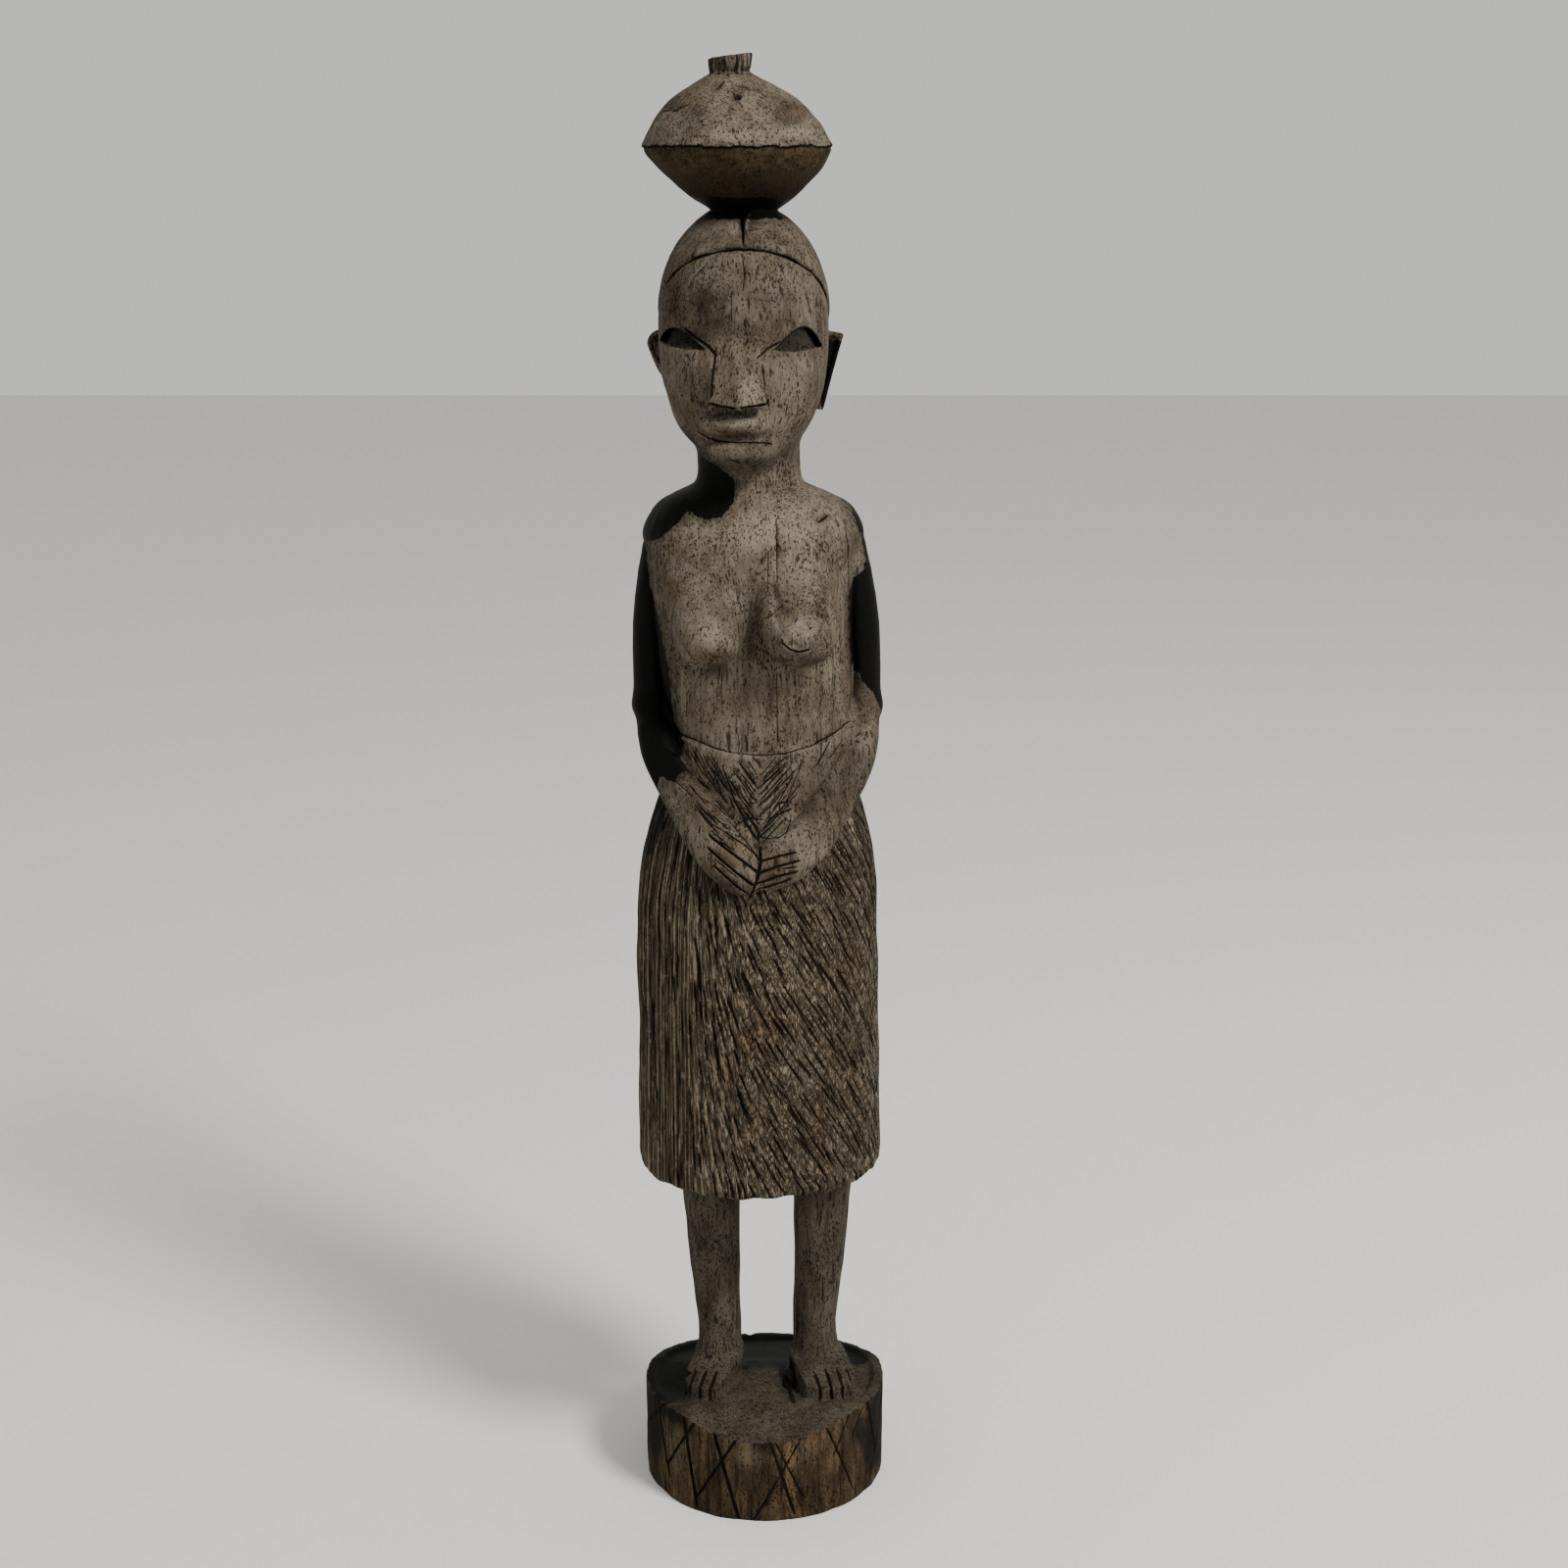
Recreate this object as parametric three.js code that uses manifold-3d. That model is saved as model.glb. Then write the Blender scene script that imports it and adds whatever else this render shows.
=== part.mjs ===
// A standing woman carved in one piece from a hardwood log. She carries a closed gourd vessel on her head,
// folds her hands over the top of a long skirt, and stands with short feet on a round base whose side is cut
// with crossing lines. Millimetres, +Z up. She faces -Y, and z = 0 is the flat underside of the base.
import * as THREE from "three";
import { mergeVertices } from "three/addons/utils/BufferGeometryUtils.js";
import { ConvexGeometry } from "three/addons/geometries/ConvexGeometry.js";
import Module from "manifold-3d";

// Driving dimensions.
const HEIGHT = 500;
const LOG_RADIUS = 43.6;
const BASE_X = -0.6;
const BASE_TOP = 35.5;
const FRONT_SLOPE = { from: -21.6, fall: 0.3, turn: 0.39 }; // two slopes that meet under the middle
const BACK_SLOPE = { from: 10, fall: 0.21 };
const HEM = 122.5;
const VESSEL_FOOT = 451.5;
const VESSEL_RIM = 471.6;
const STOPPER_FOOT = 493.2;

// Level slices of the wood: the middle's x, the half-width, and the reach to the front and to the back.
const TORSO = [
  { z: 262, x: -1.4, wide: 30, front: 30, back: 25 },
  { z: 278, x: -1.2, wide: 30.2, front: 26.6, back: 23.5 },
  { z: 300, x: -2.6, wide: 33, front: 25.4, back: 24 },
  { z: 320, x: -3.8, wide: 33.8, front: 25.4, back: 26.5 },
  { z: 338, x: -4.2, wide: 34.6, front: 24.5, back: 27 },
  { z: 348, x: -4.0, wide: 34.6, front: 22.5, back: 25 },
  { z: 354, x: -4.0, wide: 31.6, front: 20, back: 22 },
  { z: 359, x: -4.3, wide: 25.6, front: 17.4, back: 19.5 },
  { z: 363, x: -4.7, wide: 17.6, front: 14.6, back: 17.5 },
  { z: 368, x: -5.0, wide: 13, front: 12, back: 14 },
];
const NECK = [
  { z: 352, x: -4.6, wide: 17.8, front: 14.5, back: 18 },
  { z: 366, x: -5.0, wide: 17.2, front: 14.5, back: 17.5 },
  { z: 392, x: -5.6, wide: 17.4, front: 16, back: 17.5 },
];
const SKIRT = [
  { z: 120, x: -2.2, wide: 43, front: 42.6, back: 42.8 },
  { z: 150, x: -2.2, wide: 42.6, front: 42.2, back: 42.6 },
  { z: 205, x: -2.7, wide: 41.8, front: 41.2, back: 42 },
  { z: 225, x: -2.5, wide: 41.2, front: 39.6, back: 41.4 },
  { z: 238, x: -2.2, wide: 39.4, front: 38, back: 40 },
  { z: 250, x: -2.1, wide: 36.2, front: 36, back: 37 },
  { z: 262, x: -1.8, wide: 32, front: 33, back: 31.5 },
  { z: 278, x: -1.3, wide: 30.2, front: 28.6, back: 25.4 },
];
const VESSEL = [
  { z: 448, x: -6.3, r: 8 },
  { z: VESSEL_FOOT, x: -6.4, r: 11.6 },
  { z: 455, x: -6.8, r: 16.6 },
  { z: 460, x: -7.3, r: 22.3 },
  { z: 466, x: -8.0, r: 28.1 },
  { z: 469.6, x: -8.4, r: 30.1 },
  { z: VESSEL_RIM, x: -8.5, r: 30.7 },
  { z: 474, x: -8.6, r: 29.4 },
  { z: 478, x: -8.8, r: 27.2 },
  { z: 482, x: -9.1, r: 24.2 },
  { z: 486.2, x: -9.5, r: 19.8 },
  { z: 490.5, x: -10.0, r: 12.8 },
  { z: STOPPER_FOOT, x: -10.6, r: 6.8 },
  { z: HEIGHT + 1, x: -10.7, r: 7.2 },
];

// The head's rounded masses: centre x, y, z and half-sizes a, b, c.
const CRANIUM = { x: -6.7, y: 0, z: 417.5, a: 27.7, b: 29.5, c: 35.6 };
const JAW = { x: -6.6, y: -7, z: 400, a: 25.8, b: 22.6, c: 30.6 };
const CHIN = { x: -6.8, y: -18.6, z: 376.4, a: 9, b: 8.6, c: 7.4 };
const UPPER_LIP = { x: -8.8, y: -27.4, z: 383.6, a: 10.4, b: 5.6, c: 3.8 };
const LOWER_LIP = { x: -8.6, y: -26, z: 376.8, a: 8.4, b: 5, c: 3.7 };
const FACE_X = -7.7; // the head is turned a little to -X
const NOSE = { top: 414, base: 392.8, root: 4, wide: 8.6, ridge: 3.4, rise: 8, face: -27.6, crest: -29.2 };
const EYE = { apart: 17, z: 411.4, slant: 0.24, a: 9.4, b: 4, c: 3.7, y: -25.4 };
const EAR = { top: 413, bottom: 386.5, reach: 31.4, narrow: 25, thick: 7, y: 1.5 };
const HAIRLINE = { y: 3.3, z: 427, wide: 27, deep: 29.4, lean: 0.463, groove: 1 };

// Arms and breasts as rows of rounds {x, y, z, r}, with a half-width across where they aren't round.
const RIGHT_UPPER_ARM = [
  { x: -32.6, y: 3, z: 346, r: 7.5, across: 5.4 },
  { x: -34.7, y: 3, z: 337, r: 9, across: 6.6 },
  { x: -37.4, y: 3, z: 314, r: 9.4, across: 6.6 },
  { x: -39.1, y: 2, z: 290, r: 8.6, across: 7.1 },
];
const LEFT_UPPER_ARM = [
  { x: 25, y: 3, z: 346, r: 7.5, across: 5.4 },
  { x: 27.7, y: 3, z: 337, r: 9, across: 6.6 },
  { x: 31.4, y: 3, z: 314, r: 9.4, across: 6.6 },
  { x: 33.6, y: 2, z: 289, r: 8.6, across: 7.1 },
];
const RIGHT_FOREARM = [
  { x: -39, y: 1, z: 288, r: 8, across: 7.1 },
  { x: -35.2, y: -12, z: 275, r: 6.5 },
  { x: -29.4, y: -22.5, z: 263.5, r: 6.3 },
  { x: -20.4, y: -31, z: 251.5, r: 7.1 },
  { x: -12, y: -34.6, z: 243.4, r: 8.4 },
  { x: -6.8, y: -35.4, z: 239.2, r: 8.2 },
];
const LEFT_FOREARM = [
  { x: 33.5, y: 1, z: 287, r: 8, across: 7.1 },
  { x: 30, y: -13, z: 273, r: 6.5 },
  { x: 23.4, y: -24, z: 260.4, r: 6.6 },
  { x: 13.6, y: -32, z: 249.2, r: 7.4 },
  { x: 5.4, y: -35, z: 242.6, r: 7.9 },
  { x: 0.6, y: -35.6, z: 239.4, r: 7.6 },
];
const RIGHT_BREAST = [
  { x: -20.4, y: -14, z: 338, r: 9, across: 11 },
  { x: -19.4, y: -20.5, z: 328, r: 10, across: 12 },
  { x: -18.2, y: -28, z: 320, r: 9.6, across: 11.6 },
  { x: -17.5, y: -33.6, z: 316, r: 7.8, across: 10 },
];
const LEFT_BREAST = [
  { x: 9.4, y: -14, z: 339, r: 9, across: 11 },
  { x: 10, y: -20.5, z: 329, r: 10.2, across: 12.4 },
  { x: 10.6, y: -28, z: 321.2, r: 9.8, across: 12 },
  { x: 11, y: -34, z: 317.4, r: 8, across: 10.4 },
];
const BREAST_SWELL = 2; // the chest rises softly to meet each breast, this far under its skin
const FINGERS = [
  { x: -5.2, z: 246, length: 14, lean: -0.96 },
  { x: -7, z: 241.8, length: 16, lean: -0.96 },
  { x: -9, z: 237.6, length: 13, lean: -0.96 },
  { x: 4.4, z: 244.4, length: 9, lean: 1.36 },
  { x: 3.8, z: 240.6, length: 10, lean: 1.28 },
  { x: 1.8, z: 236.8, length: 9, lean: 1.24 },
];
const FINGER_CUT = { y: -43.2, width: 1.1 };

const LEG = { top: 126, bottom: 33, y: 2, thigh: 10.7, ankle: 7.6 };
const LEGS = [
  { x: -19.9, foot: -17.4, toes: -18.6, turn: -0.06 },
  { x: 19.8, foot: 17.9, toes: 20.4, turn: 0.2 },
];
const FOOT = { y: -5.2, z: 35.4, a: 7.8, b: 12.8, c: 8.2 };
const TOES = { count: 5, pitch: 3, slit: 1, y: -14.6, z: 40, length: 7, lean: 0.62 };
const MOUND = { x: -0.6, y: -16, z: 31, a: 15, b: 24, c: 4.6, lean: 0.22 };

// Crossing lines on the base's side: each set leans one way, in degrees around the base from top to bottom.
const LINE_SETS = [
  { count: 14, first: 1.5, lean: 11.5, width: 1.5 },
  { count: 14, first: 17, lean: -21, width: 1.2 },
];

const RADIANS = Math.PI / 180;
const { clamp, lerp, smoothstep } = THREE.MathUtils;

// A value of the stations at a height, on a smooth curve through them.
function valueAt(stations, key, z) {
  const at = (i) => stations[clamp(i, 0, stations.length - 1)];
  const slope = (i) => (at(i + 1)[key] - at(i - 1)[key]) / (at(i + 1).z - at(i - 1).z);
  let i = 0;
  while (i < stations.length - 2 && z > at(i + 1).z) i++;
  const span = at(i + 1).z - at(i).z;
  const t = clamp((z - at(i).z) / span, 0, 1);
  const bend = t * (1 - t) * span * ((1 - t) * slope(i) - t * slope(i + 1));
  return lerp(at(i)[key], at(i + 1)[key], t * t * (3 - 2 * t)) + bend;
}

// Each form gives roughly the distance from a point to its surface, negative inside. A slice with a
// squareness of 2 is an oval, and with more it fills its corners.
function slices(stations, squareness, x, y, z) {
  const wide = valueAt(stations, "wide", z);
  const deep = valueAt(stations, y < 0 ? "front" : "back", z);
  const across = Math.abs(x - valueAt(stations, "x", z)) / wide;
  const reached = (across ** squareness + (Math.abs(y) / deep) ** squareness) ** (1 / squareness);
  const side = (reached - 1) * Math.min(wide, deep);
  return Math.max(side, stations[0].z - z, z - stations[stations.length - 1].z);
}

// A cone with a ball at each end, wider than deep, from the first of the rounds to the last but one.
function swell(rounds, x, y, z) {
  const [from, to] = [rounds[0], rounds[rounds.length - 2]];
  const step = new THREE.Vector3().subVectors(to, from);
  const point = new THREE.Vector3(x, y, z).sub(from);
  point.x *= from.r / from.across;
  const t = clamp(point.dot(step) / step.lengthSq(), 0, 1);
  return point.addScaledVector(step, -t).length() - lerp(from.r, to.r, t) + BREAST_SWELL;
}

function egg({ x: ex, y: ey, z: ez, a, b, c }, x, y, z) {
  return (Math.hypot((x - ex) / a, (y - ey) / b, (z - ez) / c) - 1) * Math.min(a, b, c);
}

// Joins two forms with a rounded inner corner about as wide as soft.
function blend(first, second, soft) {
  const near = Math.max(soft - Math.abs(first - second), 0) / soft;
  return Math.min(first, second) - (near * near * soft) / 4;
}

function trunk(x, y, z) {
  if (z >= VESSEL_FOOT) return Math.hypot(x - valueAt(VESSEL, "x", z), y) - valueAt(VESSEL, "r", z);
  const chest = blend(slices(TORSO, 2.5, x, y, z), slices(NECK, 2, x, y, z), 4);
  const bust = blend(blend(chest, swell(RIGHT_BREAST, x, y, z), 6), swell(LEFT_BREAST, x, y, z), 6);
  const skull = blend(blend(egg(CRANIUM, x, y, z), egg(JAW, x, y, z), 7), egg(CHIN, x, y, z), 5);
  return Math.min(blend(bust, skull, 4), slices(SKIRT, 2, x, y, z));
}

// The trunk's skin: level rings of points, each found by going in from outside the log until the wood is met.
const COLUMNS = 38;
const FRONT_CROWDING = 0.3; // above 0, more of the columns fall on the front
const LEVELS = [
  { to: 222, step: 25 },
  { to: 275, step: 7.6 },
  { to: 278, step: 3 },
  { to: 279, step: 1 },
  { to: 307, step: 9.4 },
  { to: 343, step: 4.5 },
  { to: 366, step: 3.6 },
  { to: 384, step: 3 },
  { to: 432, step: 6 },
  { to: VESSEL_FOOT, step: 3.9 },
  { to: VESSEL_RIM, step: 4 },
  { to: STOPPER_FOOT, step: 4.3 },
  { to: HEIGHT, step: 6.8 },
];

function axisX(z) {
  return z < VESSEL_FOOT ? lerp(-1.5, -6.4, smoothstep(z, 260, 440)) : valueAt(VESSEL, "x", z);
}

function reach(angle, z) {
  const inside = (r) => trunk(axisX(z) + r * Math.sin(angle), -r * Math.cos(angle), z) < 0;
  let high = LOG_RADIUS + 4;
  while (high > 1 && !inside(high - 0.5)) high -= 0.5;
  let low = high - 0.5;
  for (let i = 0; i < 10; i++) {
    const middle = (low + high) / 2;
    if (inside(middle)) low = middle;
    else high = middle;
  }
  return low;
}

function trunkLevels() {
  const levels = [HEM, HEM + 2.5];
  for (const { to, step } of LEVELS) {
    const from = levels[levels.length - 1];
    const count = Math.max(1, Math.round((to - from) / step));
    for (let i = 1; i <= count; i++) levels.push(lerp(from, to, i / count));
  }
  return levels;
}

function trunkRing(z, row) {
  const shrink = row === 0 ? 0.95 : 1; // the hem's rounded edge
  return Array.from({ length: COLUMNS }, (_, i) => {
    const even = (2 * Math.PI * i) / COLUMNS - Math.PI;
    const angle = even - FRONT_CROWDING * Math.sin(even);
    const r = reach(angle, Math.min(z, HEIGHT - 0.01)) * shrink;
    return new THREE.Vector3(axisX(z) + r * Math.sin(angle), -r * Math.cos(angle), z);
  });
}

// A closed skin over rings of points that all turn the same way, closed by a point at each end.
function skin(rings, start, end) {
  const around = rings[0].length;
  const points = [...rings.flat(), start, end];
  const [startIndex, endIndex] = [points.length - 2, points.length - 1];
  const top = (rings.length - 1) * around;
  const faces = [];
  for (let i = 0; i < around; i++) {
    const next = (i + 1) % around;
    faces.push(startIndex, next, i, endIndex, top + i, top + next);
    for (let low = 0; low < top; low += around) {
      const high = low + around;
      faces.push(low + i, low + next, high + next, low + i, high + next, high + i);
    }
  }
  return new THREE.BufferGeometry().setFromPoints(points).setIndex(faces);
}

function trunkGeometry() {
  const rings = trunkLevels().map(trunkRing);
  return skin(rings, new THREE.Vector3(axisX(HEM), 0, HEM), new THREE.Vector3(axisX(HEIGHT), 0, HEIGHT));
}

// A skin over a row of rounds, with a dome at each end.
function limbGeometry(rounds, around = 12, steps = 7) {
  const path = new THREE.CatmullRomCurve3(rounds.map(({ x, y, z }) => new THREE.Vector3(x, y, z)));
  const sizesAt = rounds.map(({ r, across = r }) => new THREE.Vector3(r, across, 0));
  const sizes = new THREE.CatmullRomCurve3(sizesAt);
  const ring = (t, out, scale) => {
    const tangent = path.getTangent(t);
    const side = new THREE.Vector3(1, 0, 0).projectOnPlane(tangent).normalize();
    const rise = new THREE.Vector3().crossVectors(tangent, side);
    const { x: r, y: wide } = sizes.getPoint(t);
    const centre = path.getPoint(t).addScaledVector(tangent, out * r);
    return Array.from({ length: around }, (_, i) => {
      const angle = (2 * Math.PI * i) / around;
      const point = centre.clone().addScaledVector(side, scale * wide * Math.cos(angle));
      return point.addScaledVector(rise, scale * r * Math.sin(angle));
    });
  };
  const dome = [60, 30].map((degrees) => [Math.sin(degrees * RADIANS), Math.cos(degrees * RADIANS)]);
  const rings = dome.map(([out, scale]) => ring(0, -out, scale));
  for (let i = 0; i <= steps; i++) rings.push(ring(i / steps, 0, 1));
  for (const [out, scale] of dome.reverse()) rings.push(ring(1, out, scale));
  const tip = (t, out) => path.getPoint(t).addScaledVector(path.getTangent(t), out * sizes.getPoint(t).x);
  return skin(rings, tip(0, -1), tip(1, 1));
}

function eggGeometry({ a, b, c }, around = 14, steps = 9) {
  return new THREE.SphereGeometry(1, around, steps).rotateX(Math.PI / 2).scale(a, b, c);
}

// A wedge with a flat underside, narrow between the eyes.
function noseGeometry() {
  const at = (across, y, z) => new THREE.Vector3(FACE_X + across, y, z);
  const corners = [-1, 1].flatMap((side) => [
    at(side * NOSE.root, NOSE.face + 3, NOSE.top),
    at(side * NOSE.root * 0.5, NOSE.crest, NOSE.top - 2),
    at(side * NOSE.wide, NOSE.face, NOSE.base),
    at(side * NOSE.wide * 0.85, NOSE.face - NOSE.rise * 0.5, NOSE.base),
    at(side * NOSE.ridge, NOSE.face - NOSE.rise, NOSE.base + 0.6),
    at(side * NOSE.wide, NOSE.face + 10, NOSE.base),
    at(side * NOSE.root, NOSE.face + 10, NOSE.top),
  ]);
  return new ConvexGeometry(corners);
}

// An ear is a slab that stands out from the head and tapers downwards.
function earGeometry(side) {
  const outline = new THREE.Shape([
    new THREE.Vector2(18, EAR.bottom + 1),
    new THREE.Vector2(EAR.narrow, EAR.bottom),
    new THREE.Vector2(EAR.reach - 3.4, EAR.bottom + 9),
    new THREE.Vector2(EAR.reach, EAR.top - 3.5),
    new THREE.Vector2(EAR.reach - 1, EAR.top),
    new THREE.Vector2(18, EAR.top - 1.5),
  ]);
  const slab = new THREE.ExtrudeGeometry(outline, { depth: EAR.thick, bevelEnabled: false });
  slab.rotateX(Math.PI / 2).translate(0, EAR.y + EAR.thick, 0);
  return side > 0 ? slab : slab.rotateZ(Math.PI).translate(0, 2 * EAR.y + EAR.thick, 0);
}

// A thin ring leaning down at the back, sunk into the head as the groove under the hair.
function hairlineGeometry() {
  const ring = new THREE.TorusGeometry(1, HAIRLINE.groove / HAIRLINE.wide, 4, 30);
  return ring.scale(HAIRLINE.wide, HAIRLINE.deep, HAIRLINE.wide).rotateX(-HAIRLINE.lean);
}

// A long square bar, turned on edge, so that it cuts a groove with sloping sides.
function gouge(width, length) {
  return new THREE.BoxGeometry(width, width, length).rotateZ(Math.PI / 4);
}

// Solids for the joins and cuts.
const wasm = await Module();
wasm.setup();

function solid(geometry, { x = 0, y = 0, z = 0 } = {}, { rx = 0, ry = 0, rz = 0 } = {}) {
  const turned = new THREE.Matrix4().makeRotationFromEuler(new THREE.Euler(rx, ry, rz, "ZYX"));
  const shape = geometry.clone().applyMatrix4(turned.setPosition(x, y, z));
  for (const name of ["normal", "uv"]) shape.deleteAttribute(name);
  const merged = mergeVertices(shape, 1e-4);
  return new wasm.Manifold(
    new wasm.Mesh({
      numProp: 3,
      vertProperties: merged.attributes.position.array,
      triVerts: new Uint32Array(merged.index.array),
    }),
  );
}

const joined = (parts) => parts.reduce((whole, part) => whole.add(part));
const cutBy = (whole, cuts) => cuts.reduce((left, cut) => left.subtract(cut), whole);

function headFeatures() {
  const lips = [UPPER_LIP, LOWER_LIP].map((lip) => solid(eggGeometry(lip, 12, 7), lip));
  const ears = [-1, 1].map((side) => solid(earGeometry(side), { x: CRANIUM.x }));
  return [solid(noseGeometry()), ...lips, ...ears];
}

function headCuts() {
  const eyes = [-1, 1].map((side) => {
    const place = { x: FACE_X + side * EYE.apart, y: EYE.y, z: EYE.z };
    return solid(eggGeometry(EYE, 10, 6), place, { ry: -side * EYE.slant });
  });
  return [...eyes, solid(hairlineGeometry(), { x: CRANIUM.x, y: HAIRLINE.y, z: HAIRLINE.z })];
}

function fingerCuts() {
  const { y, width } = FINGER_CUT;
  return FINGERS.map(({ x, z, length, lean }) => solid(gouge(width, length), { x, y, z }, { ry: lean }));
}

function legSolid(leg) {
  const tall = LEG.top - LEG.bottom;
  const shaft = new THREE.CylinderGeometry(LEG.thigh, LEG.ankle, tall, 18).rotateX(Math.PI / 2);
  const middle = { x: (leg.x + leg.foot) / 2, y: LEG.y, z: (LEG.top + LEG.bottom) / 2 };
  const shank = solid(shaft, middle, { ry: Math.atan2(leg.x - leg.foot, tall) });
  const foot = solid(eggGeometry(FOOT, 14, 8), { x: leg.toes, y: FOOT.y, z: FOOT.z }, { rz: leg.turn });
  const slits = Array.from({ length: TOES.count - 1 }, (_, i) => {
    const across = (i - (TOES.count - 2) / 2) * TOES.pitch;
    const x = leg.toes + across * Math.cos(leg.turn) - (TOES.y - FOOT.y) * Math.sin(leg.turn);
    const y = TOES.y + across * Math.sin(leg.turn) + Math.abs(across) * 0.25;
    const tilt = TOES.lean - Math.PI / 2;
    return solid(gouge(TOES.slit, TOES.length), { x, y, z: TOES.z }, { rx: tilt, rz: leg.turn });
  });
  return shank.add(cutBy(foot, slits));
}

function lineCuts() {
  return LINE_SETS.flatMap(({ count, first, lean, width }) =>
    Array.from({ length: count }, (_, i) => {
      const around = (first + lean / 2 + (360 * i) / count) * RADIANS;
      const tilt = -Math.atan2(lean * RADIANS * LOG_RADIUS, BASE_TOP);
      const x = BASE_X + LOG_RADIUS * Math.sin(around);
      const y = -LOG_RADIUS * Math.cos(around);
      return solid(gouge(width, BASE_TOP * 1.3), { x, y, z: BASE_TOP / 2 }, { ry: tilt, rz: around });
    }),
  );
}

// A block that takes away what lies above a slope. The slope starts at y = from and falls away from there.
function slopeCut({ from, fall }, turn = 0) {
  const block = 60;
  const out = Math.sign(from);
  const wedge = new THREE.BoxGeometry(3 * block, block, block).translate(0, (out * block) / 2, block / 2);
  return solid(wedge, { x: BASE_X, y: from, z: BASE_TOP }, { rx: -out * Math.atan(fall), rz: turn });
}

// The drum under the feet. Its top falls to the back, and in front in two slopes with a low middle.
function baseSolid() {
  const drum = new THREE.CylinderGeometry(LOG_RADIUS, LOG_RADIUS, BASE_TOP, 42).rotateX(Math.PI / 2);
  const { turn } = FRONT_SLOPE;
  const front = slopeCut(FRONT_SLOPE, turn).intersect(slopeCut(FRONT_SLOPE, -turn));
  const sloped = cutBy(solid(drum, { x: BASE_X, z: BASE_TOP / 2 }), [front, slopeCut(BACK_SLOPE)]);
  return cutBy(sloped.add(solid(eggGeometry(MOUND, 16, 8), MOUND, { rx: MOUND.lean })), lineCuts());
}

function figureSolid() {
  const limbs = [RIGHT_UPPER_ARM, LEFT_UPPER_ARM, RIGHT_FOREARM, LEFT_FOREARM, RIGHT_BREAST, LEFT_BREAST];
  const skins = [trunkGeometry(), ...limbs.map((rounds) => limbGeometry(rounds))];
  const upper = joined([...skins.map((geometry) => solid(geometry)), ...headFeatures()]);
  const carved = cutBy(upper, [...headCuts(), ...fingerCuts()]);
  const whole = joined([carved, ...LEGS.map(legSolid), baseSolid()]);
  const below = new THREE.BoxGeometry(HEIGHT, HEIGHT, HEIGHT).translate(0, 0, -HEIGHT / 2);
  return whole.subtract(solid(below));
}

function meshOf(made, name, material) {
  const { vertProperties, triVerts } = made.getMesh();
  const geometry = new THREE.BufferGeometry();
  geometry.setAttribute("position", new THREE.BufferAttribute(vertProperties, 3));
  geometry.setIndex([...triVerts]);
  geometry.computeVertexNormals();
  const mesh = new THREE.Mesh(geometry, material);
  mesh.name = name;
  return mesh;
}

const weatheredWood = new THREE.MeshStandardMaterial({ color: 0x6f6455, roughness: 0.85, metalness: 0 });
const sculpture = new THREE.Group();
sculpture.add(meshOf(figureSolid(), "figure", weatheredWood));

export default sculpture;
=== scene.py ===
"""A weathered hardwood carving of a standing woman with a closed vessel on her head, on a round base.

The wood is one form: a function gives the distance from any point to its surface, in millimetres of the
carving. The form is turned into a mesh, the skirt with its strokes is added, and knife cuts are taken out.
The finish is painted with masks that are worked out for each point of the mesh; some of them paint light
and shade into the colour.
"""
import functools
import itertools
import math

import bpy
import numpy as np
from mathutils.bvhtree import BVHTree
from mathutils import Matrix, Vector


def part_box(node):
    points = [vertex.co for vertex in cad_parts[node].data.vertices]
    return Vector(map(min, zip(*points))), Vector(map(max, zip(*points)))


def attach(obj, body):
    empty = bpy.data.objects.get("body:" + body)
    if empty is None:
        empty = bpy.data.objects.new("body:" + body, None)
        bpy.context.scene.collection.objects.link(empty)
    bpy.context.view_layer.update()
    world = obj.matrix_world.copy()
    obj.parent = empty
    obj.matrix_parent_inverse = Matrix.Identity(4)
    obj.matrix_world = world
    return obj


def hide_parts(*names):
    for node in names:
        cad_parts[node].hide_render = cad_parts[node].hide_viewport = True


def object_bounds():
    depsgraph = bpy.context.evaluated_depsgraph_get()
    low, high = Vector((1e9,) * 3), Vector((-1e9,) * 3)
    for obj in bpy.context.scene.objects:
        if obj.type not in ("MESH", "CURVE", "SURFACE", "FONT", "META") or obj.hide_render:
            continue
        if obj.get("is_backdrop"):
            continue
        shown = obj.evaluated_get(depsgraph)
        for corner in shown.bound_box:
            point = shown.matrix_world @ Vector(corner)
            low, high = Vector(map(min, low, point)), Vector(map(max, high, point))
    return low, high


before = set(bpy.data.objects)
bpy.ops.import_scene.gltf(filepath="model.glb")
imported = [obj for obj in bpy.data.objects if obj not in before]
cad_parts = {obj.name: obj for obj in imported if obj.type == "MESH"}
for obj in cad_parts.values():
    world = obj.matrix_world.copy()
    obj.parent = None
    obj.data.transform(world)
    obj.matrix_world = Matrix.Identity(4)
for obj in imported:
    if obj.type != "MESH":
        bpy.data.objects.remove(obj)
cad_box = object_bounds()
low_corner, high_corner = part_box("figure")

# The carving is laid out on a height of 500 of its own millimetres, stretched to the frame's height.
HEIGHT = 500.0
MM = (high_corner[2] - low_corner[2]) / HEIGHT
CELL = 0.55  # the mesh's grid, in millimetres
BODY_TRIANGLES = 94000
SKIRT_TRIANGLES = 70000

BASE_X, BASE_R, BASE_TOP = -0.6, 43.4, 35.5
HEM, WAIST = 122.5, 276.6
SKIRT_ROUND = 42  # the radius on which lengths around the skirt are measured
SEAM = 471.6  # where the vessel's lid meets its bowl
VESSEL_TOP = 493.9
CORK_X, CORK_TOP = -10.8, 499.1

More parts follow.
